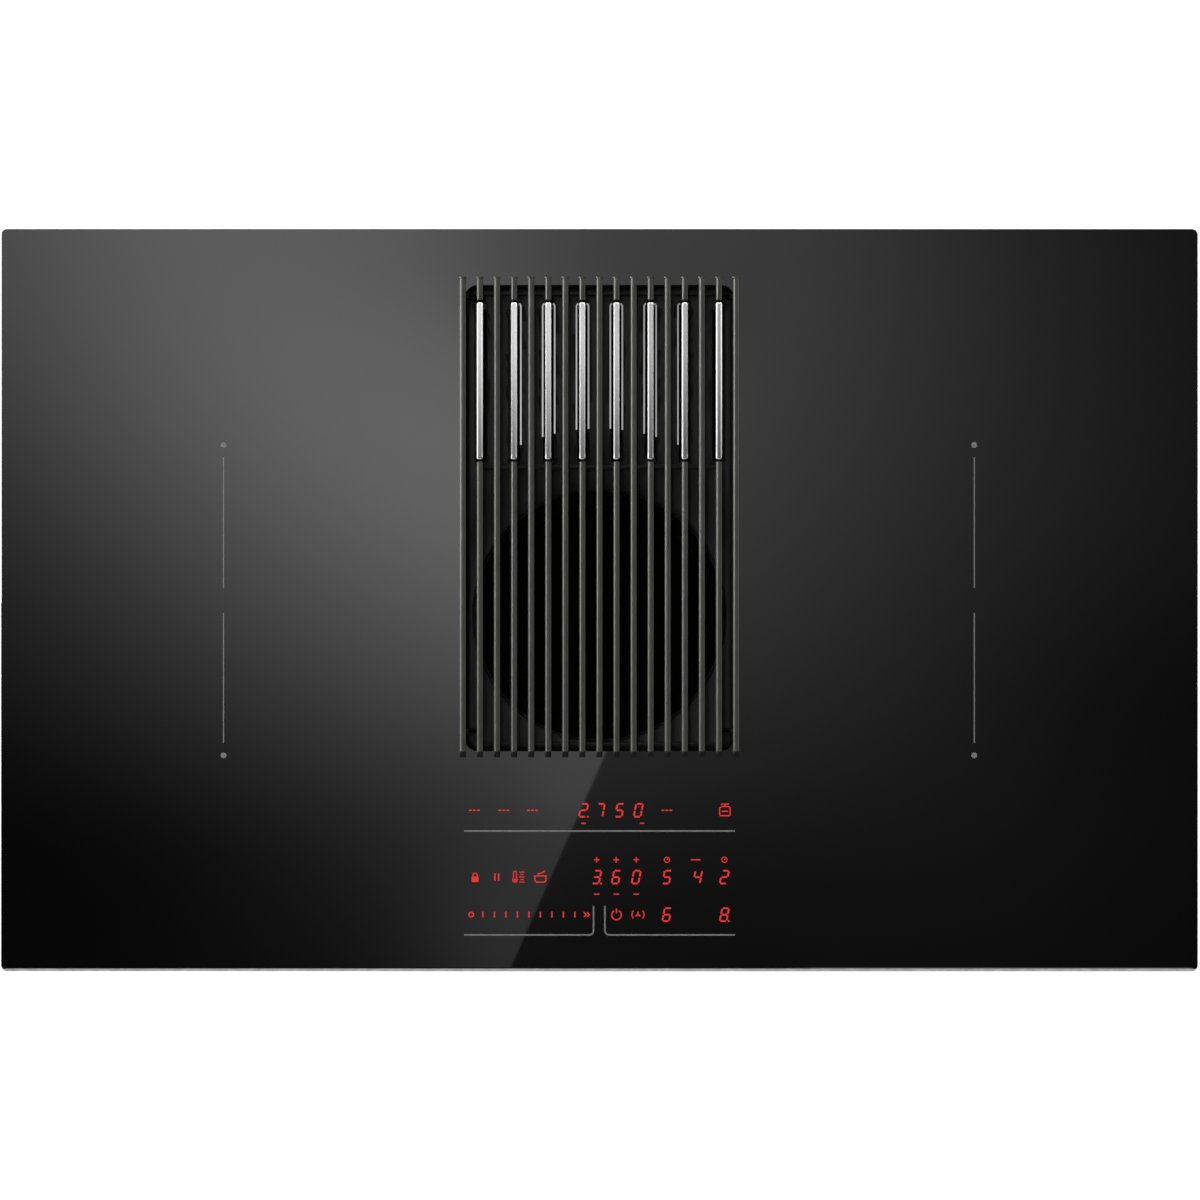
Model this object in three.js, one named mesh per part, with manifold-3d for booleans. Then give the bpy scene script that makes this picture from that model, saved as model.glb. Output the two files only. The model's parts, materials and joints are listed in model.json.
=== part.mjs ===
// Downdraft induction cooktop with a recessed extractor grille and a weighing scale.
// Millimetres. X runs across the cooktop, Y to the rear, Z up; Z = 0 is the blower housing's underside.
import * as THREE from 'three';
import { mergeVertices } from 'three/addons/utils/BufferGeometryUtils.js';
import Module from 'manifold-3d';

const wasm = await Module();
wasm.setup();

// ---------------------------------------------------------------- clearances and sheets
const GAP = 0.3; // between pieces that rest on each other
const RUN_GAP = 1.0; // round pieces that turn
const SHEET = 1.2; // steel sheet
const MOULDING = 2.0; // moulded plastic wall
const OVERLAP = 0.5; // how far joined lumps of one piece run into each other
const CUT_PAST = 1; // how far a cutting shape runs past the face that it cuts

// ---------------------------------------------------------------- sides of round shapes
const DISH_SIDES = 40;
const ROUND_SIDES = 36;
const COIL_SIDES = 28;
const SHAFT_SIDES = 24;
const BORE_SIDES = 20;
const HOLE_SIDES = 12;
const PEG_SIDES = 8;
const HEXAGON = 6;
const CORNER_STEPS = 3; // per quarter circle
const FINE_CORNER_STEPS = 5;
const SMALL_CORNER_STEPS = 2;

// ---------------------------------------------------------------- driving dimensions
// glass plate and its opening
const GLASS_WIDTH = 830;
const GLASS_DEPTH = 515;
const GLASS_THICKNESS = 4;
const GLASS_CORNER = 4.2;
const BEVEL_WIDTH = 2.6;
const BEVEL_DROP = 1.2;
const WELL_CORNER = 9.5;
const WELL_DEPTH = 30;
const WELL_REAR_MARGIN = 39.4; // glass edge to opening
const WELL_FRONT_MARGIN = 153.2;
const WELL_SIDE_MARGIN = 5.5; // orifice to opening

// grille
const BAR_COUNT = 17;
const BAR_EDGE_OFFSET = 1.14; // outermost bars' middle outside the opening's edge
const BAR_WIDTH = 4.2;
const BAR_RISE = 4; // bar tops above the glass
const BAR_CHAMFER = 1.1;
const BAR_TAB_HEIGHT = 2.7; // part of a bar that passes over the glass
const BAR_OVERHANG_REAR = 6.1;
const BAR_OVERHANG_FRONT = 4.6;
const BAR_NOSE = 4; // sloped length of a bar's front end
const FIN_WIDTH = 3.4;
const FIN_FLOOR_CLEARANCE = 10;
const FIN_WALL_CLEARANCE = 1.2;
const RAIL_WIDTH = 3;
const RAIL_HEIGHT = 6;
const RAIL_LIFT = 1; // rails above the fins' lower edges
const RAIL_WALL_CLEARANCE = 2.6;
const PAD_WIDTH = 2.4;
const PAD_LENGTH = 14;
const PAD_END_INSET = 12;

// weighing scale
const BLADE_WIDTH = 4.2;
const BLADE_REAR_INSET = 11.8; // opening's rear edge to blades
const BLADE_ORIFICE_GAP = 20.1;
const BLADE_PROUD = 1; // blade tops above the bar tops
const BLADE_CORNER = 1.4;
const BLADE_END_GAP = 1.6; // blade to grille bar
const SLOT_CLEARANCE = 1.5;
const SLOT_END_CLEARANCE = 1.7;
const SLOT_LIP = 1.2;
const SLOT_LIP_HEIGHT = 1.5;
const SCALE_TRAVEL = 0.4;
const SCALE_HEADROOM = 8;
const PLATFORM_THICKNESS = 4;
const PLATFORM_MARGIN = 4;
const LOAD_CELL_LENGTH = 110;
const LOAD_CELL_WIDTH = 16;
const LOAD_CELL_HEIGHT = 12;
const LOAD_CELL_FOOT = 18;
const LOAD_CELL_HOLE_RADIUS = 3.6;
const LOAD_CELL_HOLE_OFFSET = 5.4;
const LOAD_CELL_STAND = 2.8;
const PLATFORM_BOSS_HEIGHT = 3;

// air path
const ORIFICE_RADIUS = 88;
const ORIFICE_FRONT_MARGIN = 5.9; // orifice to opening's front edge
const DISH_WIDTH = 42.6;
const DISH_DROP = 4;
const THROAT_DEPTH = 9;
const LEDGE_WIDTH = 4;
const FILTER_SIDE_CLEARANCE = 0.6;
const FILTER_SHEET = 1.5;
const FILTER_BODY_CLEARANCE = 3;
const FILTER_DEPTH = 50;
const FILTER_PAN_LIP = 2.5;
const FILTER_WINDOWS = 12;
const FILTER_WINDOW_SHARE = 0.72;
const FILTER_WINDOW_MARGIN = 3; // below the rim
const MESH_THICKNESS = 2;
const DUCT_CLEARANCE = 2; // suction duct bore outside the throat
const DUCT_FLANGE = 8;
const PLENUM_HEIGHT = 54; // blower lid to base tray
const GUTTER_COLLAR_HEIGHT = 10;

// blower
const HOUSING_HEIGHT = 92;
const INLET_STEP = 14; // inlet radius inside the impeller's
const INLET_BELL = 13;
const IMPELLER_RADIUS = 86;
const IMPELLER_FLOOR = 14;
const IMPELLER_TOP_CLEARANCE = 3;
const VANE_COUNT = 24;
const VANE_LENGTH = 17;
const VANE_THICKNESS = 1.4;
const MOTOR_RADIUS = 34;
const MOTOR_HEIGHT = 44;
const SHAFT_RADIUS = 4;
const SHAFT_LENGTH = 7;
const SCROLL_START_GAP = 12; // impeller to housing wall
const SCROLL_END_GAP = 52;
const SCROLL_STEPS = 26;
const SCROLL_START_ANGLE = 112; // degrees, from +X towards the rear
const DUCT_WIDTH = 222;
const DUCT_MARGIN = 4; // outlet below the housing's top and above its underside
const DUCT_RUN = 30; // straight part ahead of the outlet
const COLLAR_LENGTH = 26;
const COLLAR_FLANGE = 7;
const OUTLET_INSET = 27; // base tray's rear wall to housing outlet
const LID_EDGE = 6;
const HANGER_LENGTH = 150;
const HANGER_FOOT = 16;
const HANGER_DUCT_GAP = 5;

// drain
const ELBOW_RADIUS = 5;
const ELBOW_WALL = 1.4;
const ELBOW_LID_GAP = 2;
const ELBOW_STEPS = 12;
const CUP_WIDTH = 150;
const CUP_LENGTH = 62;
const CUP_HEIGHT = 58;
const CUP_WALL = 2;
const CUP_CORNER = 6;
const CUP_RIM = 7;
const CUP_RIM_INSET = 9;
const CUP_MOUTH_GAP = 4; // elbow end to cup rim
const CUP_HOUSING_GAP = 4; // housing wall to cup
const CUP_RAIL_THICKNESS = 2;

// base tray and what it carries
const GLASS_LEDGE_SIDE = 17; // glass that lies on the worktop
const GLASS_LEDGE_END = 16.5;
const TRAY_CORNER = 6;
const TRAY_RIM = 8;
const SEAL_HEIGHT = 1.7;
const SEAL_INSET = 3;
const WELL_FLANGE = 9;
const WELL_SEAL_HEIGHT = 1.6;

// induction coils
const COIL_RADIUS = 92;
const COIL_HALF_SPACING = 15.5; // cooktop's middle to a coil's rim, front to rear
const COIL_SIDE_INSET = 46; // base tray's side to a coil's rim
const COIL_BORE = 22;
const COIL_HEIGHT = 4;
const COIL_GLASS_GAP = 4;
const CARRIER_MARGIN = 4;
const CARRIER_HEIGHT = 3;
const CARRIER_FOOT_HEIGHT = 4;
const CARRIER_FOOT_RADIUS = 6;
const CARRIER_FEET = 3;
const COIL_PLATE_CLEARANCE = 6;
const COIL_PLATE_WELL_CLEARANCE = 24;
const COIL_PLATE_LEG = 16;

// electronics
const BOARD_THICKNESS = 1.6;
const BOARD_WIDTH = 150;
const BOARD_DEPTH = 270;
const BOARD_PEG_HEIGHT = 8;
const BOARD_PEG_RADIUS = 4;
const BOARD_PEG_INSET = 12;
const BOARD_ZONE_OFFSET = 30; // board and fan nearer the middle than the coils
const BOARD_CENTRE_Y = 50;
const HEAT_SINK_WIDTH = 66;
const HEAT_SINK_LENGTH = 170;
const HEAT_SINK_BASE = 5;
const HEAT_SINK_FINS = 9;
const HEAT_SINK_FIN = 2;
const HEAT_SINK_HEIGHT = 20;
const FAN_SIZE = 92;
const FAN_HEIGHT = 25;
const FAN_WALL = 2;
const FAN_BLADES = 7;
const FAN_HUB_RADIUS = 18;
const FAN_BEARING_HEIGHT = 6;
const FAN_BEARING_RADIUS = 12;
const FAN_BLADE_PITCH = 36; // degrees
const FAN_BLADE_SHARE = 0.8; // of the rotor's height
const FAN_HUB_SIDES = 3; // per blade
const FAN_FRONT_INSET = 35;
const FAN_GRILLE_BARS = 7;
const FAN_GRILLE_EDGE = 4;
const FAN_SLOT_SHARE = 0.5; // of the slots' pitch
const PANEL_WIDTH = 200;
const PANEL_FRONT_CLEARANCE = 3;
const PANEL_WELL_CLEARANCE = 24.7;
const PANEL_GLASS_GAP = 0.6;
const GUIDE_HEIGHT = 5;
const GUIDE_WINDOW_WIDTH = 82;
const GUIDE_WINDOW_DEPTH = 76;
const DIGIT_MODULE_HEIGHT = 3.6;
const GLAND_BORE = 6;
const GLAND_NUT = 11;
const GLAND_LENGTH = 14;
const TERMINAL_WIDTH = 92;
const TERMINAL_DEPTH = 60;
const TERMINAL_HEIGHT = 28;
const TERMINAL_SIDE_INSET = 42;
const TERMINAL_REAR_INSET = 21;

// worktop clamps
const CLAMP_X_WIDTH = 24;
const CLAMP_REACH = 15;
const CLAMP_HEIGHT = 22;
const CLAMP_SHEET = 1.5;
const CLAMP_Y = 150;
const CLAMP_DROP = 34; // clamp tongue below the glass underside
const CLAMP_HOLE_RADIUS = 2.8;

// ---------------------------------------------------------------- places worked out from them
const TRAY_WIDTH = GLASS_WIDTH - 2 * GLASS_LEDGE_SIDE;
const TRAY_DEPTH = GLASS_DEPTH - 2 * GLASS_LEDGE_END;

const WELL_WIDTH = 2 * (ORIFICE_RADIUS + WELL_SIDE_MARGIN);
const WELL_HALF = WELL_WIDTH / 2;
const WELL_REAR = GLASS_DEPTH / 2 - WELL_REAR_MARGIN;
const WELL_FRONT = WELL_FRONT_MARGIN - GLASS_DEPTH / 2;
const WELL_LENGTH = WELL_REAR - WELL_FRONT;
const WELL_CENTRE_Y = (WELL_REAR + WELL_FRONT) / 2;

const ORIFICE_Y = WELL_FRONT + ORIFICE_FRONT_MARGIN + ORIFICE_RADIUS;
const DISH_RADIUS = ORIFICE_RADIUS + DISH_WIDTH;
const FILTER_BODY_RADIUS = ORIFICE_RADIUS - LEDGE_WIDTH - FILTER_BODY_CLEARANCE;
const SUCTION_BORE = ORIFICE_RADIUS + MOULDING + DUCT_CLEARANCE;

const BAR_PITCH = (2 * (WELL_HALF + BAR_EDGE_OFFSET)) / (BAR_COUNT - 1);
const BLADE_COUNT = (BAR_COUNT - 1) / 2;
const BLADE_FRONT_Y = ORIFICE_Y + ORIFICE_RADIUS + BLADE_ORIFICE_GAP;
const BLADE_REAR_Y = WELL_REAR - BLADE_REAR_INSET;
const BLADE_LENGTH = BLADE_REAR_Y - BLADE_FRONT_Y;
const BLADE_CENTRE_Y = (BLADE_FRONT_Y + BLADE_REAR_Y) / 2;

const INLET_RADIUS = IMPELLER_RADIUS - INLET_STEP;
const SCROLL_START_RADIUS = IMPELLER_RADIUS + SCROLL_START_GAP;
const SCROLL_END_RADIUS = IMPELLER_RADIUS + SCROLL_END_GAP;
const DUCT_HEIGHT = HOUSING_HEIGHT - 2 * DUCT_MARGIN;
const OUTLET_Y = TRAY_DEPTH / 2 - OUTLET_INSET;

const ZONE_X = TRAY_WIDTH / 2 - COIL_SIDE_INSET - COIL_RADIUS;
const ZONE_Y = COIL_HALF_SPACING + COIL_RADIUS;
const BOARD_X = ZONE_X - BOARD_ZONE_OFFSET;
const FAN_Y = FAN_FRONT_INSET + FAN_SIZE / 2 - TRAY_DEPTH / 2;
const PANEL_FRONT = TRAY_RIM + PANEL_FRONT_CLEARANCE - TRAY_DEPTH / 2;
const PANEL_REAR = WELL_FRONT - MOULDING - WELL_FLANGE - PANEL_WELL_CLEARANCE;
const PANEL_DEPTH = PANEL_REAR - PANEL_FRONT;
const PANEL_Y = (PANEL_REAR + PANEL_FRONT) / 2;

// ---------------------------------------------------------------- levels, from the underside up
const LOAD_CELL_ROOM = LOAD_CELL_STAND + LOAD_CELL_HEIGHT + SCALE_TRAVEL + 2 * GAP;
const SCALE_ROOM = LOAD_CELL_ROOM + PLATFORM_BOSS_HEIGHT + PLATFORM_THICKNESS + SCALE_HEADROOM;
const TRAY_HEIGHT = SHEET + SCALE_ROOM + MOULDING + WELL_DEPTH - GLASS_THICKNESS - GAP;

const LID_Z = HOUSING_HEIGHT + GAP;
const LID_TOP = LID_Z + MOULDING;
const TRAY_Z = LID_TOP + PLENUM_HEIGHT;
const TRAY_FLOOR = TRAY_Z + SHEET;
const LOAD_CELL_BOTTOM = TRAY_FLOOR + LOAD_CELL_STAND + GAP;
const TRAY_TOP = TRAY_Z + TRAY_HEIGHT;
const GLASS_Z = TRAY_TOP + GAP;
const GLASS_TOP = GLASS_Z + GLASS_THICKNESS;
const BAR_TOP = GLASS_TOP + BAR_RISE;
const BLADE_TOP = BAR_TOP + BLADE_PROUD;
const WELL_FLOOR = GLASS_TOP - WELL_DEPTH;
const WELL_UNDER = WELL_FLOOR - MOULDING;
const DISH_EDGE = WELL_FLOOR - DISH_DROP;
const LEDGE_TOP = DISH_EDGE - THROAT_DEPTH;
const FIN_BOTTOM = WELL_FLOOR + FIN_FLOOR_CLEARANCE;
const PLATFORM_TOP = WELL_UNDER - SCALE_HEADROOM;
const PLATFORM_Z = PLATFORM_TOP - PLATFORM_THICKNESS;
const COIL_TOP = GLASS_Z - COIL_GLASS_GAP;
const CARRIER_TOP = COIL_TOP - COIL_HEIGHT - GAP;
const COIL_PLATE_TOP = CARRIER_TOP - CARRIER_HEIGHT - CARRIER_FOOT_HEIGHT - GAP;
const DRAIN_Z = LID_TOP + MOULDING + 2 * GAP + ELBOW_RADIUS + ELBOW_WALL;
const CUP_TOP = DRAIN_Z - 2 * ELBOW_RADIUS - CUP_MOUTH_GAP;

// ---------------------------------------------------------------- shape helpers
function roundedRect(width, depth, radius, centreX = 0, centreY = 0) {
  const right = centreX + width / 2;
  const left = centreX - width / 2;
  const rear = centreY + depth / 2;
  const front = centreY - depth / 2;
  const shape = new THREE.Shape();
  shape.moveTo(left + radius, front);
  shape.lineTo(right - radius, front);
  shape.absarc(right - radius, front + radius, radius, -Math.PI / 2, 0, false);
  shape.lineTo(right, rear - radius);
  shape.absarc(right - radius, rear - radius, radius, 0, Math.PI / 2, false);
  shape.lineTo(left + radius, rear);
  shape.absarc(left + radius, rear - radius, radius, Math.PI / 2, Math.PI, false);
  shape.lineTo(left, front + radius);
  shape.absarc(left + radius, front + radius, radius, Math.PI, 1.5 * Math.PI, false);
  return shape;
}

function polygon(points) {
  return new THREE.Shape(points.map(([a, b]) => new THREE.Vector2(a, b)));
}

// A block between two opposite corners.
function block(x0, x1, y0, y1, z0, z1) {
  const geometry = new THREE.BoxGeometry(x1 - x0, y1 - y0, z1 - z0);
  return geometry.translate((x0 + x1) / 2, (y0 + y1) / 2, (z0 + z1) / 2);
}

// An outline in X and Y, raised from z0 to z1.
function prism(shape, z0, z1, curveSegments = FINE_CORNER_STEPS) {
  const settings = { depth: z1 - z0, bevelEnabled: false, curveSegments };
  return new THREE.ExtrudeGeometry(shape, settings).translate(0, 0, z0);
}

// An outline in Y and Z, run along X from x0 to x1.
function prismAlongX(shape, x0, x1) {
  const turn = new THREE.Matrix4().makeBasis(
    new THREE.Vector3(0, 1, 0),
    new THREE.Vector3(0, 0, 1),
    new THREE.Vector3(1, 0, 0),
  );
  return prism(shape, x0, x1).applyMatrix4(turn);
}

// An outline in X and Z, run along Y from y0 to y1.
function prismAlongY(shape, y0, y1) {
  const turn = new THREE.Matrix4().makeBasis(
    new THREE.Vector3(1, 0, 0),
    new THREE.Vector3(0, 0, 1),
    new THREE.Vector3(0, -1, 0),
  );
  return prism(shape, -y1, -y0).applyMatrix4(turn);
}

function post(radius, z0, z1, x = 0, y = 0, sides = BORE_SIDES) {
  const geometry = new THREE.CylinderGeometry(radius, radius, z1 - z0, sides);
  return geometry.rotateX(Math.PI / 2).translate(x, y, (z0 + z1) / 2);
}

// A closed profile of [radius, height] points, turned about Z.
function turned(profile, sides = ROUND_SIDES) {
  const points = profile.map(([radius, height]) => new THREE.Vector2(radius, height));
  if (THREE.ShapeUtils.isClockWise(points)) {
    points.reverse();
  }
  points.push(points[0].clone());
  return new THREE.LatheGeometry(points, sides).rotateX(Math.PI / 2);
}

function ring(inner, outer, z0, z1, sides = ROUND_SIDES) {
  return turned([[inner, z0], [outer, z0], [outer, z1], [inner, z1]], sides);
}

function solid(geometry) {
  const bare = new THREE.BufferGeometry();
  bare.setAttribute('position', geometry.getAttribute('position'));
  if (geometry.index) {
    bare.setIndex(geometry.index);
  }
  const merged = mergeVertices(bare, 1e-4);
  return new wasm.Manifold(new wasm.Mesh({
    numProp: 3,
    vertProperties: new Float32Array(merged.getAttribute('position').array),
    triVerts: new Uint32Array(merged.index.array),
  }));
}

function surface(body) {
  const mesh = body.getMesh();
  const geometry = new THREE.BufferGeometry();
  geometry.setAttribute('position', new THREE.BufferAttribute(mesh.vertProperties, 3));
  geometry.setIndex(new THREE.BufferAttribute(mesh.triVerts, 1));
  geometry.computeVertexNormals();
  return geometry;
}

function join(...pieces) {
  return surface(pieces.map(solid).reduce((whole, piece) => whole.add(piece)));
}

function cut(piece, ...tools) {
  return surface(tools.map(solid).reduce((whole, tool) => whole.subtract(tool), solid(piece)));
}

function common(first, second) {
  return surface(solid(first).intersect(solid(second)));
}

function finish(color, roughness, metalness) {
  return { color, roughness, metalness };
}

const LOOKS = {
  blackGlass: finish(0x141416, 0.08, 0.0),
  castIron: finish(0x3f403c, 0.55, 0.4),
  brightSteel: finish(0xcfcfd0, 0.25, 1.0),
  blackPlastic: finish(0x1a1a1b, 0.5, 0.0),
  silicone: finish(0x26272a, 0.8, 0.0),
  galvanised: finish(0xa8abae, 0.4, 0.9),
  aluminium: finish(0xc2c4c6, 0.35, 0.9),
  copper: finish(0xb36b3c, 0.4, 0.9),
  board: finish(0x1f5b3a, 0.6, 0.0),
  display: finish(0x7a1414, 0.3, 0.0),
  greyPlastic: finish(0x5a5c5f, 0.55, 0.0),
};

function addPart(group, name, geometry, look) {
  const mesh = new THREE.Mesh(geometry, new THREE.MeshStandardMaterial(look));
  mesh.name = name;
  group.add(mesh);
  return mesh;
}

// ---------------------------------------------------------------- glass and seals
function glassTop() {
  const outline = roundedRect(GLASS_WIDTH, GLASS_DEPTH, GLASS_CORNER);
  outline.holes.push(roundedRect(WELL_WIDTH, WELL_LENGTH, WELL_CORNER, 0, WELL_CENTRE_Y));
  const plate = prism(outline, GLASS_Z, GLASS_TOP);
  const front = -GLASS_DEPTH / 2;
  const bevelCut = polygon([
    [front - BEVEL_WIDTH, GLASS_TOP - 2 * BEVEL_DROP],
    [front + 2 * BEVEL_WIDTH, GLASS_TOP + BEVEL_DROP],
    [front - BEVEL_WIDTH, GLASS_TOP + BEVEL_DROP],
  ]);
  return cut(plate, prismAlongX(bevelCut, -GLASS_WIDTH, GLASS_WIDTH));
}

function rimSeal() {
  const inner = TRAY_CORNER + GAP;
  const outline = roundedRect(GLASS_WIDTH - 2 * SEAL_INSET, GLASS_DEPTH - 2 * SEAL_INSET, GLASS_CORNER);
  outline.holes.push(roundedRect(TRAY_WIDTH + 2 * GAP, TRAY_DEPTH + 2 * GAP, inner));
  return prism(outline, TRAY_TOP - SEAL_HEIGHT, TRAY_TOP, SMALL_CORNER_STEPS);
}

function wellSeal() {
  const inside = MOULDING + GAP;
  const outside = MOULDING + WELL_FLANGE - GAP;
  const outline = roundedRect(
    WELL_WIDTH + 2 * outside, WELL_LENGTH + 2 * outside, WELL_CORNER + outside, 0, WELL_CENTRE_Y,
  );
  outline.holes.push(roundedRect(
    WELL_WIDTH + 2 * inside, WELL_LENGTH + 2 * inside, WELL_CORNER + inside, 0, WELL_CENTRE_Y,
  ));
  return prism(outline, TRAY_TOP - WELL_SEAL_HEIGHT, TRAY_TOP, SMALL_CORNER_STEPS);
}

// ---------------------------------------------------------------- recess tray
function bladeX(index) {
  return (index - (BLADE_COUNT - 1) / 2) * 2 * BAR_PITCH;
}

function slotOutline(x, margin) {
  const halfWidth = BLADE_WIDTH / 2 + SLOT_CLEARANCE + margin;
  const length = BLADE_LENGTH + 2 * (SLOT_END_CLEARANCE + margin);
  return roundedRect(2 * halfWidth, length, BLADE_CORNER + margin, x, BLADE_CENTRE_Y);
}

function wellTray() {
  const flangeTop = TRAY_TOP - WELL_SEAL_HEIGHT - GAP;
  const bottom = DISH_EDGE - MOULDING;
  const shell = (margin) => roundedRect(
    WELL_WIDTH + 2 * margin, WELL_LENGTH + 2 * margin, WELL_CORNER + margin, 0, WELL_CENTRE_Y,
  );
  const walls = shell(MOULDING);
  walls.holes.push(shell(0));
  const flange = shell(MOULDING + WELL_FLANGE);
  flange.holes.push(shell(OVERLAP));
  const inside = prism(shell(MOULDING - OVERLAP), LEDGE_TOP - 2 * MOULDING, WELL_FLOOR + OVERLAP);
  const flat = cut(
    prism(shell(MOULDING - OVERLAP), WELL_UNDER, WELL_FLOOR),
    post(DISH_RADIUS, WELL_UNDER - CUT_PAST, WELL_FLOOR + CUT_PAST, 0, ORIFICE_Y, DISH_SIDES),
  );
  const ledgeRadius = ORIFICE_RADIUS - LEDGE_WIDTH;
  const dish = turned([
    [DISH_RADIUS + OVERLAP, WELL_FLOOR],
    [DISH_RADIUS - OVERLAP, WELL_FLOOR],
    [ORIFICE_RADIUS, DISH_EDGE],
    [ORIFICE_RADIUS, LEDGE_TOP],
    [ledgeRadius, LEDGE_TOP],
    [ledgeRadius, LEDGE_TOP - MOULDING],
    [ORIFICE_RADIUS + MOULDING, LEDGE_TOP - MOULDING],
    [ORIFICE_RADIUS + MOULDING, DISH_EDGE - MOULDING],
    [DISH_RADIUS - OVERLAP, WELL_UNDER],
    [DISH_RADIUS + OVERLAP, WELL_UNDER],
  ], DISH_SIDES).translate(0, ORIFICE_Y, 0);
  const lips = [];
  const slots = [];
  for (let i = 0; i < BLADE_COUNT; i += 1) {
    const lipOutline = slotOutline(bladeX(i), SLOT_LIP);
    lips.push(prism(lipOutline, WELL_FLOOR - OVERLAP, WELL_FLOOR + SLOT_LIP_HEIGHT, 1));
    slots.push(prism(slotOutline(bladeX(i), 0), LEDGE_TOP, WELL_FLOOR + 2 * SLOT_LIP_HEIGHT, 1));
  }
  const whole = join(
    prism(walls, bottom, flangeTop, CORNER_STEPS),
    prism(flange, flangeTop - SHEET, flangeTop, CORNER_STEPS),
    flat,
    common(dish, inside),
    ...lips,
  );
  return cut(whole, ...slots);
}

// ---------------------------------------------------------------- grille
function barIsCut(index) {
  return index % 2 === 1 && index < 2 * BLADE_COUNT;
}

function barX(index) {
  return (index - (BAR_COUNT - 1) / 2) * BAR_PITCH;
}

function barTab(x, y0, y1) {
  const half = BAR_WIDTH / 2;
  const section = polygon([
    [x - half, BAR_TOP - BAR_TAB_HEIGHT],
    [x + half, BAR_TOP - BAR_TAB_HEIGHT],
    [x + half, BAR_TOP - BAR_CHAMFER],
    [x + half - BAR_CHAMFER, BAR_TOP],
    [x - half + BAR_CHAMFER, BAR_TOP],
    [x - half, BAR_TOP - BAR_CHAMFER],
  ]);
  return prismAlongY(section, y0, y1);
}

function grilleBars() {
  const rear = WELL_REAR + BAR_OVERHANG_REAR;
  const front = WELL_FRONT - BAR_OVERHANG_FRONT;
  const finRear = WELL_REAR - FIN_WALL_CLEARANCE;
  const finFront = WELL_FRONT + FIN_WALL_CLEARANCE;
  const finTop = BAR_TOP - BAR_TAB_HEIGHT + OVERLAP;
  const stubY = BLADE_REAR_Y + BLADE_END_GAP;
  const stopY = BLADE_FRONT_Y - BLADE_END_GAP;
  const pieces = [];
  for (let i = 0; i < BAR_COUNT; i += 1) {
    const x = barX(i);
    const overGlass = Math.abs(x) + BAR_WIDTH / 2 > WELL_HALF;
    const runs = barIsCut(i) ? [[front, stopY], [stubY, rear]] : [[front, rear]];
    for (const [y0, y1] of runs) {
      pieces.push(barTab(x, y0, y1));
      if (!overGlass) {
        const fin = [Math.max(y0, finFront), Math.min(y1, finRear)];
        pieces.push(block(x - FIN_WIDTH / 2, x + FIN_WIDTH / 2, fin[0], fin[1], FIN_BOTTOM, finTop));
      }
    }
  }
  return pieces;
}

// Cross rails low between the fins; near both ends a riser carries the two outermost bars.
function grilleRails() {
  const lastFin = barX(BAR_COUNT - 2) + FIN_WIDTH / 2 - OVERLAP;
  const wallX = WELL_HALF - 2 * FIN_WALL_CLEARANCE;
  const outer = barX(BAR_COUNT - 1);
  const tabZ = BAR_TOP - BAR_TAB_HEIGHT;
  const rearY = WELL_REAR - RAIL_WALL_CLEARANCE - RAIL_WIDTH;
  const frontY = WELL_FRONT + RAIL_WALL_CLEARANCE;
  const middleY = BLADE_FRONT_Y - 2 * BLADE_END_GAP - RAIL_WIDTH;
  const low = FIN_BOTTOM + RAIL_LIFT;
  const pieces = [];
  for (const y of [rearY, middleY, frontY]) {
    pieces.push(block(-lastFin, lastFin, y, y + RAIL_WIDTH, low, low + RAIL_HEIGHT));
  }
  for (const y of [BLADE_REAR_Y + 2 * BLADE_END_GAP, frontY + WELL_CORNER]) {
    for (const side of [-1, 1]) {
      const xs = (a, b) => (side > 0 ? [a, b] : [-b, -a]);
      pieces.push(block(...xs(lastFin, wallX), y, y + RAIL_WIDTH, low, tabZ + OVERLAP));
      pieces.push(block(...xs(lastFin, outer), y, y + RAIL_WIDTH, tabZ + OVERLAP / 2, tabZ + BAR_CHAMFER));
    }
  }
  return pieces;
}

function grille() {
  const front = WELL_FRONT - BAR_OVERHANG_FRONT;
  const tabZ = BAR_TOP - BAR_TAB_HEIGHT;
  const fall = BAR_TOP - tabZ - BAR_CHAMFER / 2;
  const noseCut = polygon([
    [front - BAR_NOSE, BAR_TOP - 2 * fall],
    [front + 2 * BAR_NOSE, BAR_TOP + fall],
    [front - BAR_NOSE, BAR_TOP + fall],
  ]);
  const whole = join(...grilleBars(), ...grilleRails());
  return cut(whole, prismAlongX(noseCut, -GLASS_WIDTH / 2, GLASS_WIDTH / 2));
}

function addGrille(parent) {
  addPart(parent, 'grille', grille(), LOOKS.castIron);
  const x = (WELL_HALF + barX(BAR_COUNT - 1) + BAR_WIDTH / 2) / 2;
  const yRear = WELL_REAR - PAD_END_INSET;
  const yFront = WELL_FRONT + PAD_END_INSET;
  const z0 = GLASS_TOP + GAP;
  const z1 = BAR_TOP - BAR_TAB_HEIGHT - GAP;
  const corners = {
    front_left: [-x, yFront],
    front_right: [x, yFront],
    rear_left: [-x, yRear],
    rear_right: [x, yRear],
  };
  for (const [corner, [cx, cy]] of Object.entries(corners)) {
    const pad = block(-PAD_WIDTH / 2, PAD_WIDTH / 2, -PAD_LENGTH / 2, PAD_LENGTH / 2, z0, z1);
    addPart(parent, `grille_pad_${corner}`, pad, LOOKS.silicone).position.set(cx, cy, 0);
  }
}

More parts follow.
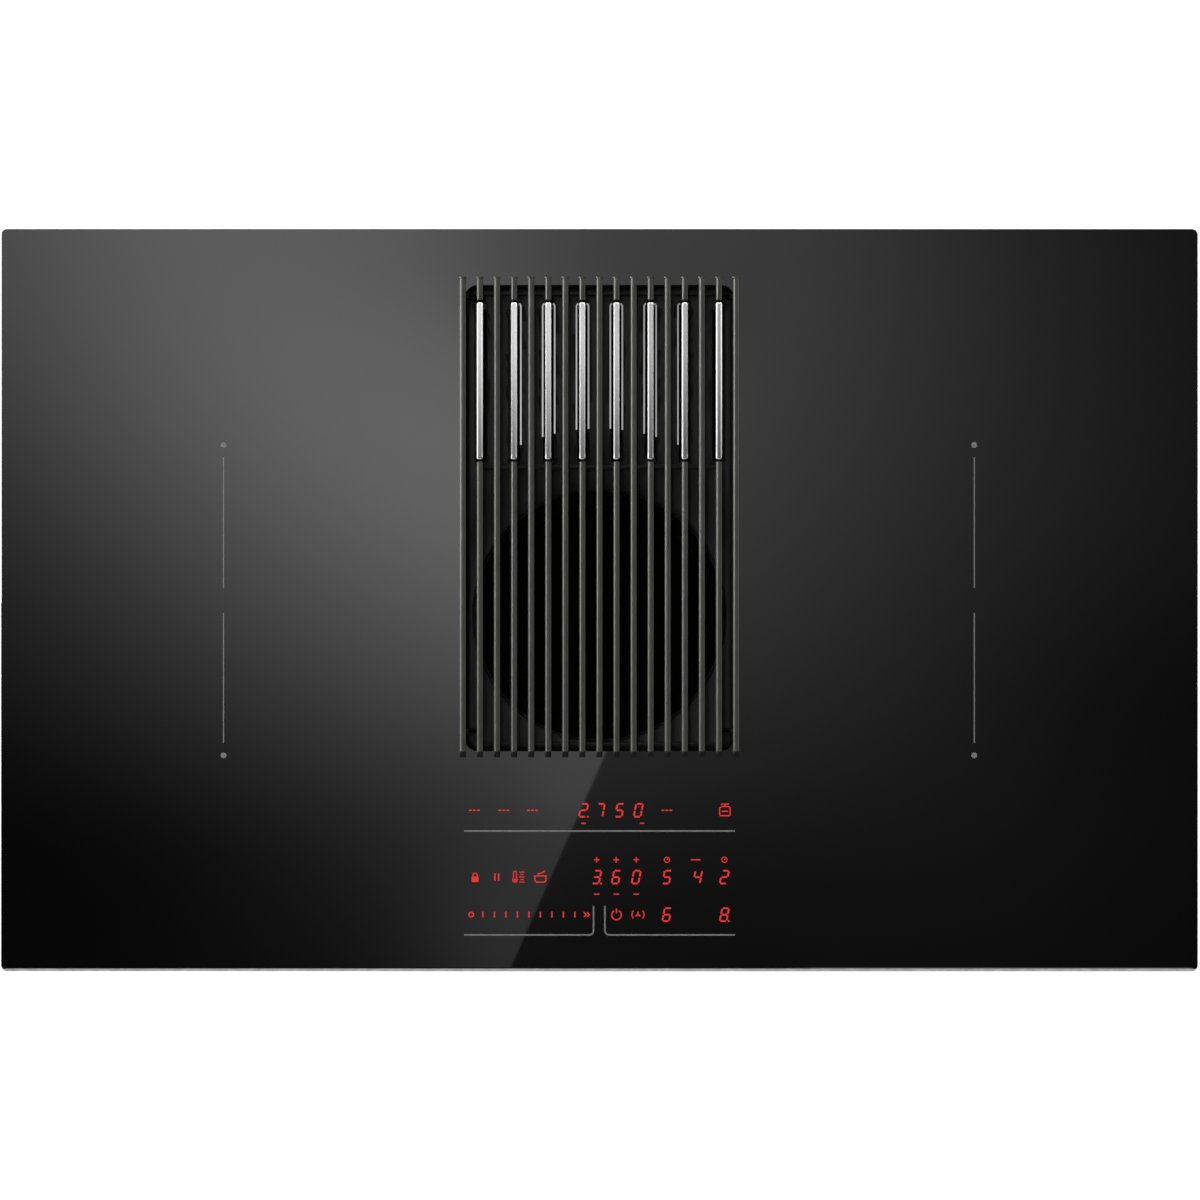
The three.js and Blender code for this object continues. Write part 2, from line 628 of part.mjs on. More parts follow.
// ---------------------------------------------------------------- weighing scale
function addScale(parent) {
  const half = bladeX(BLADE_COUNT - 1) + BLADE_WIDTH / 2 + PLATFORM_MARGIN;
  const bossX = LOAD_CELL_LENGTH / 2 - LOAD_CELL_FOOT;
  const bossZ = PLATFORM_Z - PLATFORM_BOSS_HEIGHT;
  const plate = prism(
    roundedRect(2 * half, BLADE_LENGTH - PLATFORM_MARGIN, PLATFORM_MARGIN, 0, BLADE_CENTRE_Y),
    PLATFORM_Z, PLATFORM_TOP, SMALL_CORNER_STEPS,
  );
  const halfCell = LOAD_CELL_WIDTH / 2;
  const boss = block(
    bossX, bossX + LOAD_CELL_FOOT, BLADE_CENTRE_Y - halfCell, BLADE_CENTRE_Y + halfCell,
    bossZ, PLATFORM_Z + OVERLAP,
  );
  addPart(parent, 'scale_platform', join(plate, boss), LOOKS.aluminium);
  for (let i = 0; i < BLADE_COUNT; i += 1) {
    const outline = roundedRect(BLADE_WIDTH, BLADE_LENGTH, BLADE_CORNER);
    const blade = prism(outline, PLATFORM_TOP + GAP, BLADE_TOP, SMALL_CORNER_STEPS);
    addPart(parent, `scale_blade_${i + 1}`, blade, LOOKS.brightSteel)
      .position.set(bladeX(i), BLADE_CENTRE_Y, 0);
  }
}

function addLoadCell(parent) {
  const end = LOAD_CELL_LENGTH / 2;
  const half = LOAD_CELL_WIDTH / 2;
  const bar = block(-end, end, -half, half, 0, LOAD_CELL_HEIGHT);
  const holes = [-1, 1].map((side) => {
    const radius = LOAD_CELL_HOLE_RADIUS;
    const hole = new THREE.CylinderGeometry(radius, radius, 2 * LOAD_CELL_WIDTH, HOLE_SIDES);
    return hole.translate(side * LOAD_CELL_HOLE_OFFSET, 0, LOAD_CELL_HEIGHT / 2);
  });
  addPart(parent, 'load_cell', cut(bar, ...holes), LOOKS.aluminium)
    .position.set(0, BLADE_CENTRE_Y, LOAD_CELL_BOTTOM);
}

// ---------------------------------------------------------------- grease filter
function filterFrame() {
  const rim = ORIFICE_RADIUS - FILTER_SIDE_CLEARANCE;
  const z = LEDGE_TOP + GAP;
  const bottom = z - FILTER_DEPTH;
  const inner = FILTER_BODY_RADIUS - FILTER_SHEET;
  const cover = inner - MESH_THICKNESS - GAP;
  const basket = turned([
    [0, bottom],
    [FILTER_BODY_RADIUS, bottom],
    [FILTER_BODY_RADIUS, z],
    [rim, z],
    [rim, z + FILTER_SHEET],
    [cover, z + FILTER_SHEET],
    [cover, z],
    [inner, z],
    [inner, bottom + FILTER_SHEET],
    [0, bottom + FILTER_SHEET],
  ]);
  const pitch = (2 * Math.PI) / FILTER_WINDOWS;
  const width = FILTER_WINDOW_SHARE * pitch * FILTER_BODY_RADIUS;
  const windows = [];
  for (let i = 0; i < FILTER_WINDOWS; i += 1) {
    const window = block(
      FILTER_BODY_RADIUS * Math.cos(pitch / 2) - FILTER_SHEET, rim,
      -width / 2, width / 2, bottom + FILTER_PAN_LIP, z - FILTER_WINDOW_MARGIN,
    );
    windows.push(window.rotateZ(pitch * i + pitch / 2));
  }
  return cut(basket, ...windows);
}

function addFilter(parent) {
  addPart(parent, 'filter_frame', filterFrame(), LOOKS.blackPlastic);
  const outer = FILTER_BODY_RADIUS - FILTER_SHEET - GAP;
  const z = LEDGE_TOP + GAP;
  const bottom = z - FILTER_DEPTH + FILTER_SHEET + GAP;
  const mesh = ring(outer - MESH_THICKNESS, outer, bottom, z - GAP);
  addPart(parent, 'filter_mesh', mesh, LOOKS.aluminium);
}

// ---------------------------------------------------------------- air duct and drain
function suctionDuct() {
  const outer = SUCTION_BORE + MOULDING;
  const slope = DISH_DROP / DISH_WIDTH;
  const top = DISH_EDGE - MOULDING + slope * DUCT_CLEARANCE - GAP;
  const z = LID_TOP + GAP;
  const tube = turned([
    [SUCTION_BORE, z],
    [outer + DUCT_FLANGE, z],
    [outer + DUCT_FLANGE, z + MOULDING],
    [outer, z + MOULDING],
    [outer, top],
    [SUCTION_BORE, top],
  ]);
  const radius = ELBOW_RADIUS + ELBOW_WALL + GAP;
  const hole = new THREE.CylinderGeometry(radius, radius, 2 * DUCT_FLANGE, HOLE_SIDES);
  return cut(tube, hole.translate(0, -SUCTION_BORE, DRAIN_Z));
}

// A level pipe from the gutter, then a bend down over the drip cup.
function elbowRun(radius, extra) {
  const drop = 2 * ELBOW_RADIUS;
  const endY = elbowEndY() - ORIFICE_Y;
  const bendStart = new THREE.Vector3(0, endY + drop, DRAIN_Z);
  const bendCorner = new THREE.Vector3(0, endY, DRAIN_Z);
  const bendEnd = new THREE.Vector3(0, endY, DRAIN_Z - drop);
  const route = new THREE.CurvePath();
  route.add(new THREE.LineCurve3(new THREE.Vector3(0, extra - SUCTION_BORE, DRAIN_Z), bendStart));
  route.add(new THREE.QuadraticBezierCurve3(bendStart, bendCorner, bendEnd));
  if (extra > 0) {
    route.add(new THREE.LineCurve3(bendEnd, bendEnd.clone().setZ(bendEnd.z - extra)));
  }
  const circle = new THREE.Shape();
  circle.absarc(0, 0, radius, 0, 2 * Math.PI, false);
  const settings = { steps: ELBOW_STEPS, curveSegments: FINE_CORNER_STEPS, extrudePath: route };
  return new THREE.ExtrudeGeometry(circle, settings);
}

function elbowEndY() {
  return ORIFICE_Y - scrollFront() - LID_EDGE - ELBOW_LID_GAP - ELBOW_RADIUS - ELBOW_WALL;
}

function drainElbow() {
  return cut(elbowRun(ELBOW_RADIUS + ELBOW_WALL, 0), elbowRun(ELBOW_RADIUS, OVERLAP));
}

// ---------------------------------------------------------------- blower
// How far the housing's outer wall reaches to the front of the blower's axis.
function scrollFront() {
  return -Math.min(...scrollOutline(MOULDING).getPoints().map((point) => point.y));
}

// Spiral wall from the tongue round the left and the front to the right, then the outlet duct.
function scrollOutline(margin) {
  const points = [];
  for (let i = 0; i <= SCROLL_STEPS; i += 1) {
    const share = i / SCROLL_STEPS;
    const angle = THREE.MathUtils.degToRad(SCROLL_START_ANGLE + (360 - SCROLL_START_ANGLE) * share);
    const radius = THREE.MathUtils.lerp(SCROLL_START_RADIUS, SCROLL_END_RADIUS, share) + margin;
    points.push([radius * Math.cos(angle), radius * Math.sin(angle)]);
  }
  const outletY = OUTLET_Y - ORIFICE_Y;
  const half = DUCT_WIDTH / 2 + margin;
  points.push([half, outletY - DUCT_RUN]);
  points.push([half, outletY]);
  points.push([-half, outletY]);
  points.push([-half, outletY - DUCT_RUN]);
  return polygon(points);
}

function blowerBase() {
  const whole = prism(scrollOutline(MOULDING), 0, HOUSING_HEIGHT);
  const high = HOUSING_HEIGHT + CUT_PAST;
  const inside = prism(scrollOutline(0), MOULDING, high);
  const half = DUCT_WIDTH / 2;
  const outletY = OUTLET_Y - ORIFICE_Y;
  const outlet = block(-half, half, outletY - 2 * MOULDING, outletY + MOULDING, MOULDING, high);
  return cut(whole, inside, outlet);
}

function blowerLid() {
  const plate = prism(scrollOutline(MOULDING + LID_EDGE), LID_Z, LID_TOP);
  const bellTop = LID_TOP + GUTTER_COLLAR_HEIGHT;
  const bell = ring(INLET_RADIUS, INLET_RADIUS + MOULDING, LID_Z - INLET_BELL, bellTop);
  const hole = post(INLET_RADIUS + OVERLAP, LID_Z - CUT_PAST, LID_TOP + CUT_PAST, 0, 0, ROUND_SIDES);
  return join(cut(plate, hole), bell);
}

function impellerHub() {
  const bottom = IMPELLER_FLOOR;
  const cupInner = MOTOR_RADIUS + RUN_GAP;
  const cupTop = MOULDING + GAP + MOTOR_HEIGHT + RUN_GAP;
  const shaftHole = SHAFT_RADIUS + GAP;
  return turned([
    [cupInner, bottom],
    [IMPELLER_RADIUS, bottom],
    [IMPELLER_RADIUS, bottom + MOULDING],
    [cupInner + MOULDING, bottom + MOULDING],
    [cupInner + MOULDING, cupTop + MOULDING],
    [shaftHole, cupTop + MOULDING],
    [shaftHole, cupTop],
    [cupInner, cupTop],
  ], VANE_COUNT);
}

// Stands on the hub's disc.
function impellerVaneRing() {
  const bottom = IMPELLER_FLOOR + MOULDING + GAP;
  const top = LID_Z - INLET_BELL - IMPELLER_TOP_CLEARANCE;
  const inner = IMPELLER_RADIUS - VANE_LENGTH;
  const foot = ring(inner, IMPELLER_RADIUS, bottom, bottom + MOULDING, VANE_COUNT);
  const eye = ring(IMPELLER_RADIUS - VANE_LENGTH / 2, IMPELLER_RADIUS, top - MOULDING, top, VANE_COUNT);
  const vanes = [];
  for (let i = 0; i < VANE_COUNT; i += 1) {
    const vane = block(
      inner + OVERLAP, IMPELLER_RADIUS - OVERLAP,
      -VANE_THICKNESS / 2, VANE_THICKNESS / 2, bottom + OVERLAP, top - OVERLAP,
    );
    vanes.push(vane.rotateZ((2 * Math.PI * i) / VANE_COUNT));
  }
  return join(foot, eye, ...vanes);
}

function blowerMotor() {
  const z = MOULDING + GAP;
  const top = z + MOTOR_HEIGHT;
  return turned([
    [0, z],
    [MOTOR_RADIUS, z],
    [MOTOR_RADIUS, top],
    [SHAFT_RADIUS, top],
    [SHAFT_RADIUS, top + SHAFT_LENGTH],
    [0, top + SHAFT_LENGTH],
  ], SHAFT_SIDES);
}

function outletCollar() {
  const y = OUTLET_Y - ORIFICE_Y + GAP;
  const inner = ductFrame(DUCT_WIDTH - 2 * MOULDING, DUCT_HEIGHT - 2 * MOULDING);
  const spigot = cut(
    prismAlongY(ductFrame(DUCT_WIDTH, DUCT_HEIGHT), y, y + COLLAR_LENGTH),
    prismAlongY(inner, y - CUT_PAST, y + COLLAR_LENGTH + CUT_PAST),
  );
  const flange = cut(
    prismAlongY(ductFrame(DUCT_WIDTH + 2 * COLLAR_FLANGE, HOUSING_HEIGHT), y, y + MOULDING),
    prismAlongY(inner, y - CUT_PAST, y + MOULDING + CUT_PAST),
  );
  return join(spigot, flange);
}

// A rectangle in X and Z about the middle of the blower housing.
function ductFrame(width, height) {
  const middle = HOUSING_HEIGHT / 2;
  return polygon([
    [-width / 2, middle - height / 2],
    [width / 2, middle - height / 2],
    [width / 2, middle + height / 2],
    [-width / 2, middle + height / 2],
  ]);
}

function hanger(side) {
  const x0 = SUCTION_BORE + MOULDING + DUCT_FLANGE + HANGER_DUCT_GAP + HANGER_FOOT;
  const low = LID_TOP + GAP;
  const high = TRAY_Z - GAP;
  const profile = polygon([
    [side * (x0 - HANGER_FOOT + SHEET), low],
    [side * (x0 + SHEET), low],
    [side * (x0 + SHEET), high - SHEET],
    [side * (x0 + HANGER_FOOT), high - SHEET],
    [side * (x0 + HANGER_FOOT), high],
    [side * x0, high],
    [side * x0, low + SHEET],
    [side * (x0 - HANGER_FOOT + SHEET), low + SHEET],
  ]);
  return prismAlongY(profile, -HANGER_LENGTH / 2, HANGER_LENGTH / 2);
}

function addBlower(parent) {
  const blower = new THREE.Group();
  blower.position.set(0, ORIFICE_Y, 0);
  parent.add(blower);
  addPart(blower, 'blower_base', blowerBase(), LOOKS.blackPlastic);
  addPart(blower, 'blower_lid', blowerLid(), LOOKS.blackPlastic);
  addPart(blower, 'blower_motor', blowerMotor(), LOOKS.galvanised);
  addPart(blower, 'impeller_hub', impellerHub(), LOOKS.greyPlastic);
  addPart(blower, 'impeller_vane_ring', impellerVaneRing(), LOOKS.greyPlastic);
  addPart(blower, 'outlet_collar', outletCollar(), LOOKS.greyPlastic);
  addPart(blower, 'suction_duct', suctionDuct(), LOOKS.greyPlastic);
  addPart(blower, 'drain_elbow', drainElbow(), LOOKS.silicone);
  addPart(blower, 'hanger_left', hanger(-1), LOOKS.galvanised);
  addPart(blower, 'hanger_right', hanger(1), LOOKS.galvanised);
  addFilter(blower);
}

// ---------------------------------------------------------------- drip cup below the drain
function cupFrontY() {
  return ORIFICE_Y - scrollFront() - CUP_HOUSING_GAP - CUP_LENGTH;
}

function dripCup() {
  const half = CUP_WIDTH / 2;
  const y0 = cupFrontY();
  const y1 = y0 + CUP_LENGTH;
  const outline = (margin) => roundedRect(
    CUP_WIDTH - 2 * margin, CUP_LENGTH - 2 * margin, CUP_CORNER - margin, 0, (y0 + y1) / 2,
  );
  const low = CUP_TOP - CUP_HEIGHT;
  const body = prism(outline(0), low, CUP_TOP, CORNER_STEPS);
  const rims = [-1, 1].map((side) => {
    const inner = side * (half - OVERLAP);
    const outer = side * (half + CUP_RIM);
    return block(
      Math.min(inner, outer), Math.max(inner, outer),
      y0 + CUP_RIM_INSET, y1 - CUP_RIM_INSET, CUP_TOP - CUP_WALL, CUP_TOP,
    );
  });
  const hollow = prism(outline(CUP_WALL), low + CUP_WALL, CUP_TOP + CUT_PAST, CORNER_STEPS);
  return cut(join(body, ...rims), hollow);
}

// A bracket under the base tray whose two lower edges hold the cup's rims.
function cupCradle() {
  const t = CUP_RAIL_THICKNESS;
  const inside = CUP_WIDTH / 2 + CUP_RIM / 2;
  const outside = CUP_WIDTH / 2 + CUP_RIM + GAP;
  const foot = CUP_TOP - CUP_WALL - GAP;
  const high = TRAY_Z - GAP;
  const profile = polygon([
    [-inside, foot - t],
    [-inside, foot],
    [-outside, foot],
    [-outside, high - t],
    [outside, high - t],
    [outside, foot],
    [inside, foot],
    [inside, foot - t],
    [outside + t, foot - t],
    [outside + t, high],
    [-outside - t, high],
    [-outside - t, foot - t],
  ]);
  const y0 = cupFrontY();
  return prismAlongY(profile, y0 + CUP_RIM_INSET, y0 + CUP_LENGTH - CUP_RIM_INSET);
}

// ---------------------------------------------------------------- base tray
function boardPegs(side) {
  const pegs = [];
  for (const sx of [-1, 1]) {
    for (const sy of [-1, 1]) {
      const x = side * BOARD_X + sx * (BOARD_WIDTH / 2 - BOARD_PEG_INSET);
      const y = BOARD_CENTRE_Y + sy * (BOARD_DEPTH / 2 - BOARD_PEG_INSET);
      const top = TRAY_FLOOR + BOARD_PEG_HEIGHT;
      pegs.push(post(BOARD_PEG_RADIUS, TRAY_FLOOR - OVERLAP, top, x, y, PEG_SIDES));
    }
  }
  return pegs;
}

function loadCellStand() {
  const half = LOAD_CELL_WIDTH / 2;
  const end = LOAD_CELL_LENGTH / 2;
  return block(
    -end, -end + LOAD_CELL_FOOT, BLADE_CENTRE_Y - half, BLADE_CENTRE_Y + half,
    TRAY_FLOOR - OVERLAP, TRAY_FLOOR + LOAD_CELL_STAND,
  );
}

function fanGrilleSlots(side) {
  const pitch = (FAN_SIZE - 2 * FAN_GRILLE_EDGE) / FAN_GRILLE_BARS;
  const half = (FAN_SLOT_SHARE * pitch) / 2;
  const low = TRAY_Z - CUT_PAST;
  const high = TRAY_FLOOR + CUT_PAST;
  const slots = [];
  for (let i = 0; i < FAN_GRILLE_BARS; i += 1) {
    const offset = (i - (FAN_GRILLE_BARS - 1) / 2) * pitch;
    const reach = Math.sqrt((FAN_SIZE / 2 - FAN_GRILLE_EDGE) ** 2 - offset ** 2);
    const x = side * BOARD_X + offset;
    slots.push(block(x - half, x + half, FAN_Y - reach, FAN_Y + reach, low, high));
  }
  return slots;
}

function baseTray() {
  const outer = (margin) => roundedRect(TRAY_WIDTH - 2 * margin, TRAY_DEPTH - 2 * margin, TRAY_CORNER);
  const shell = prism(outer(0), TRAY_Z, TRAY_TOP, CORNER_STEPS);
  const hollow = prism(outer(SHEET), TRAY_FLOOR, TRAY_TOP - SHEET, CORNER_STEPS);
  const mouth = prism(outer(TRAY_RIM), TRAY_FLOOR + CUT_PAST, TRAY_TOP + CUT_PAST, CORNER_STEPS);
  const ductRadius = SUCTION_BORE + MOULDING + RUN_GAP;
  const ductHole = post(ductRadius, TRAY_Z - CUT_PAST, TRAY_FLOOR + CUT_PAST, 0, ORIFICE_Y, ROUND_SIDES);
  const pan = cut(shell, hollow, mouth, ductHole, ...fanGrilleSlots(-1), ...fanGrilleSlots(1));
  return join(pan, loadCellStand(), ...boardPegs(-1), ...boardPegs(1));
}

// ---------------------------------------------------------------- induction coils
function coilPlate(side) {
  const low = COIL_PLATE_TOP - SHEET;
  const inner = WELL_HALF + MOULDING + WELL_FLANGE + COIL_PLATE_WELL_CLEARANCE;
  const outer = TRAY_WIDTH / 2 - SHEET - COIL_PLATE_CLEARANCE;
  const x = (side * (inner + outer)) / 2;
  const halfX = (outer - inner) / 2;
  const halfY = TRAY_DEPTH / 2 - SHEET - COIL_PLATE_CLEARANCE;
  const plate = block(x - halfX, x + halfX, -halfY, halfY, low, COIL_PLATE_TOP);
  const legs = [];
  for (const sx of [-1, 1]) {
    for (const sy of [-1, 1]) {
      const outerX = x + sx * (halfX - OVERLAP);
      const innerX = outerX - sx * SHEET;
      const outerY = sy * (halfY - OVERLAP);
      const innerY = sy * (halfY - COIL_PLATE_LEG);
      legs.push(block(
        Math.min(innerX, outerX), Math.max(innerX, outerX),
        Math.min(innerY, outerY), Math.max(innerY, outerY), TRAY_FLOOR + GAP, low + SHEET / 2,
      ));
    }
  }
  return join(plate, ...legs);
}

// One moulding per side: a disc under each coil, a web between them, and feet on the coil plate.
function coilCarrier(side) {
  const radius = COIL_RADIUS + CARRIER_MARGIN;
  const top = CARRIER_TOP;
  const low = top - CARRIER_HEIGHT;
  const reach = radius - 2 * CARRIER_FOOT_RADIUS;
  const x = side * ZONE_X;
  const pieces = [block(x - radius / 2, x + radius / 2, -ZONE_Y / 2, ZONE_Y / 2, low, top)];
  const holes = [];
  for (const y of [-ZONE_Y, ZONE_Y]) {
    pieces.push(post(radius, low, top, x, y, COIL_SIDES));
    holes.push(post(COIL_BORE - 2 * MOULDING, low - CUT_PAST, top + CUT_PAST, x, y));
    for (let i = 0; i < CARRIER_FEET; i += 1) {
      const angle = (2 * Math.PI * i) / CARRIER_FEET;
      const footX = x + reach * Math.cos(angle);
      const footY = y + reach * Math.sin(angle);
      const footZ = low - CARRIER_FOOT_HEIGHT;
      pieces.push(post(CARRIER_FOOT_RADIUS, footZ, low + OVERLAP, footX, footY, PEG_SIDES));
    }
  }
  return cut(join(...pieces), ...holes);
}

function addCoils(parent) {
  for (const [sideName, side] of [['left', -1], ['right', 1]]) {
    addPart(parent, `coil_plate_${sideName}`, coilPlate(side), LOOKS.aluminium);
    addPart(parent, `coil_carrier_${sideName}`, coilCarrier(side), LOOKS.blackPlastic);
    for (const [rowName, row] of [['front', -1], ['rear', 1]]) {
      const coil = ring(COIL_BORE, COIL_RADIUS, COIL_TOP - COIL_HEIGHT, COIL_TOP, COIL_SIDES);
      addPart(parent, `coil_${rowName}_${sideName}`, coil, LOOKS.copper)
        .position.set(side * ZONE_X, row * ZONE_Y, 0);
    }
  }
}

// ---------------------------------------------------------------- electronics
function heatSink() {
  const halfX = HEAT_SINK_WIDTH / 2;
  const pitch = (HEAT_SINK_WIDTH - HEAT_SINK_FIN) / (HEAT_SINK_FINS - 1);
  const points = [[-halfX, 0], [halfX, 0]];
  for (let i = HEAT_SINK_FINS - 1; i >= 0; i -= 1) {
    const left = -halfX + i * pitch;
    points.push([left + HEAT_SINK_FIN, HEAT_SINK_BASE]);
    points.push([left + HEAT_SINK_FIN, HEAT_SINK_HEIGHT]);
    points.push([left, HEAT_SINK_HEIGHT]);
    points.push([left, HEAT_SINK_BASE]);
  }
  const outline = points.filter(([x, z]) => Math.abs(x) < halfX || z !== HEAT_SINK_BASE);
  return prismAlongY(polygon(outline), -HEAT_SINK_LENGTH / 2, HEAT_SINK_LENGTH / 2);
}

function fanHousing() {
  const half = FAN_SIZE / 2;
  const bore = half - FAN_WALL;
  const body = block(-half, half, -half, half, 0, FAN_HEIGHT);
  const air = post(bore, -CUT_PAST, FAN_HEIGHT + CUT_PAST, 0, 0, COIL_SIDES);
  const spider = block(-half + OVERLAP, half - OVERLAP, -FAN_WALL, FAN_WALL, 0, FAN_WALL);
  const bearing = post(FAN_BEARING_RADIUS, 0, FAN_BEARING_HEIGHT, 0, 0, HOLE_SIDES);
  return join(cut(body, air), spider, bearing);
}

function fanRotor() {
  const tip = FAN_SIZE / 2 - FAN_WALL - RUN_GAP;
  const low = FAN_WALL + RUN_GAP;
  const top = FAN_HEIGHT - RUN_GAP;
  const socket = FAN_BEARING_RADIUS + GAP;
  const hub = turned([
    [0, FAN_BEARING_HEIGHT + GAP],
    [socket, FAN_BEARING_HEIGHT + GAP],
    [socket, low],
    [FAN_HUB_RADIUS, low],
    [FAN_HUB_RADIUS, top],
    [0, top],
  ], FAN_HUB_SIDES * FAN_BLADES);
  const blades = [];
  for (let i = 0; i < FAN_BLADES; i += 1) {
    const height = FAN_BLADE_SHARE * (top - low);
    const blade = new THREE.BoxGeometry(tip - FAN_HUB_RADIUS + OVERLAP, FAN_WALL, height);
    blade.rotateX(THREE.MathUtils.degToRad(FAN_BLADE_PITCH));
    blade.translate((tip + FAN_HUB_RADIUS - OVERLAP) / 2, 0, (low + top) / 2);
    blades.push(blade.rotateZ((2 * Math.PI * i) / FAN_BLADES));
  }
  return join(hub, ...blades);
}

function addElectronics(parent) {
  const boardZ = TRAY_FLOOR + BOARD_PEG_HEIGHT + GAP;
  for (const [sideName, side] of [['left', -1], ['right', 1]]) {
    const board = block(
      -BOARD_WIDTH / 2, BOARD_WIDTH / 2, -BOARD_DEPTH / 2, BOARD_DEPTH / 2, 0, BOARD_THICKNESS,
    );
    addPart(parent, `power_board_${sideName}`, board, LOOKS.board)
      .position.set(side * BOARD_X, BOARD_CENTRE_Y, boardZ);
    addPart(parent, `heat_sink_${sideName}`, heatSink(), LOOKS.aluminium)
      .position.set(side * BOARD_X, BOARD_CENTRE_Y, boardZ + BOARD_THICKNESS + GAP);
    const fan = new THREE.Group();
    fan.position.set(side * BOARD_X, FAN_Y, TRAY_FLOOR + GAP);
    parent.add(fan);
    addPart(fan, `cooling_fan_${sideName}`, fanHousing(), LOOKS.blackPlastic);
    addPart(fan, `cooling_rotor_${sideName}`, fanRotor(), LOOKS.greyPlastic);
  }
}

function addTouchPanel(parent) {
  const panel = new THREE.Group();
  panel.position.set(0, PANEL_Y, 0);
  parent.add(panel);
  const guideTop = GLASS_Z - PANEL_GLASS_GAP;
  const guideZ = guideTop - GUIDE_HEIGHT;
  const boardTop = guideZ - GAP;
  const boardZ = boardTop - BOARD_THICKNESS;
  const halfX = PANEL_WIDTH / 2;
  const halfY = PANEL_DEPTH / 2;
  const window = (margin, z0, z1) => block(
    -GUIDE_WINDOW_WIDTH / 2 + margin, GUIDE_WINDOW_WIDTH / 2 - margin,
    -GUIDE_WINDOW_DEPTH / 2 + margin, GUIDE_WINDOW_DEPTH / 2 - margin, z0, z1,
  );
  const guide = cut(
    block(-halfX, halfX, -halfY, halfY, guideZ, guideTop),
    window(0, guideZ - CUT_PAST, guideTop + CUT_PAST),
  );
  addPart(panel, 'light_guide', guide, LOOKS.blackPlastic);
  const digits = window(2 * GAP, boardTop + GAP, boardTop + GAP + DIGIT_MODULE_HEIGHT);
  addPart(panel, 'digit_module', digits, LOOKS.display);
  addPart(panel, 'touch_board', block(-halfX, halfX, -halfY, halfY, boardZ, boardTop), LOOKS.board);
  const shelfTop = boardZ - GAP;
  const bracket = prismAlongY(polygon([
    [-halfX, TRAY_FLOOR + GAP],
    [-halfX + SHEET, TRAY_FLOOR + GAP],
    [-halfX + SHEET, shelfTop - SHEET],
    [halfX - SHEET, shelfTop - SHEET],
    [halfX - SHEET, TRAY_FLOOR + GAP],
    [halfX, TRAY_FLOOR + GAP],
    [halfX, shelfTop],
    [-halfX, shelfTop],
  ]), -halfY, halfY);
  addPart(panel, 'panel_bracket', bracket, LOOKS.galvanised);
}

function addTerminal(parent) {
  const z1 = TRAY_Z - GAP;
  const z0 = z1 - TERMINAL_HEIGHT;
  const halfX = TERMINAL_WIDTH / 2;
  const halfY = TERMINAL_DEPTH / 2;
  const middleZ = (z0 + z1) / 2;
  const boreHole = (radius, y0, y1, sides) => {
    const hole = new THREE.CylinderGeometry(radius, radius, y1 - y0, sides);
    return hole.translate(0, (y0 + y1) / 2, middleZ);
  };
  const box = cut(
    block(-halfX, halfX, -halfY, halfY, z0, z1),
    block(
      -halfX + MOULDING, halfX - MOULDING, -halfY + MOULDING, halfY - MOULDING,
      z0 + MOULDING, z1 + CUT_PAST,
    ),
    boreHole(GLAND_BORE, halfY - 2 * MOULDING, halfY + MOULDING, BORE_SIDES),
  );
  const terminal = new THREE.Group();
  terminal.position.set(
    TERMINAL_SIDE_INSET + halfX - TRAY_WIDTH / 2, TRAY_DEPTH / 2 - TERMINAL_REAR_INSET - halfY, 0,
  );
  parent.add(terminal);
  addPart(terminal, 'terminal_box', box, LOOKS.greyPlastic);
  const nut = cut(
    boreHole(GLAND_NUT, halfY + GAP, halfY + GAP + GLAND_LENGTH, HEXAGON),
    boreHole(GLAND_BORE, halfY - CUT_PAST, halfY + GLAND_LENGTH + 2 * CUT_PAST, BORE_SIDES),
  );
  addPart(terminal, 'cable_gland', nut, LOOKS.blackPlastic);
}

// ---------------------------------------------------------------- worktop clamps
function addClamps(parent) {
  const half = CLAMP_X_WIDTH / 2;
  const wall = TRAY_WIDTH / 2 + GAP;
  const tongueTop = GLASS_Z - CLAMP_DROP;
  const holeX = wall + (CLAMP_SHEET + CLAMP_REACH) / 2;
  for (const [sideName, side] of [['left', -1], ['right', 1]]) {
    for (const [rowName, row] of [['front', -1], ['rear', 1]]) {
      const clamp = new THREE.Group();
      clamp.position.set(0, row * CLAMP_Y, 0);
      parent.add(clamp);
      const angle = prismAlongY(polygon([
        [side * wall, tongueTop - CLAMP_SHEET],
        [side * (wall + CLAMP_REACH), tongueTop - CLAMP_SHEET],
        [side * (wall + CLAMP_REACH), tongueTop],
        [side * (wall + CLAMP_SHEET), tongueTop],
        [side * (wall + CLAMP_SHEET), tongueTop + CLAMP_HEIGHT],
        [side * wall, tongueTop + CLAMP_HEIGHT],
      ]), -half, half);
      const holeLow = tongueTop - 2 * CLAMP_SHEET;
      const hole = post(
        CLAMP_HOLE_RADIUS, holeLow, tongueTop + CUT_PAST, side * holeX, 0, HOLE_SIDES,
      );
      addPart(clamp, `worktop_clamp_${rowName}_${sideName}`, cut(angle, hole), LOOKS.galvanised);
    }
  }
}

const root = new THREE.Group();
addPart(root, 'glass_top', glassTop(), LOOKS.blackGlass);
addPart(root, 'rim_seal', rimSeal(), LOOKS.silicone);
addPart(root, 'well_seal', wellSeal(), LOOKS.silicone);
addPart(root, 'well_tray', wellTray(), LOOKS.blackPlastic);
addPart(root, 'base_tray', baseTray(), LOOKS.galvanised);
addPart(root, 'drip_cup', dripCup(), LOOKS.greyPlastic);
addPart(root, 'cup_cradle', cupCradle(), LOOKS.galvanised);
addGrille(root);
addScale(root);
addLoadCell(root);
addBlower(root);
addCoils(root);
addElectronics(root);
addTouchPanel(root);
addTerminal(root);
addClamps(root);

export default root;
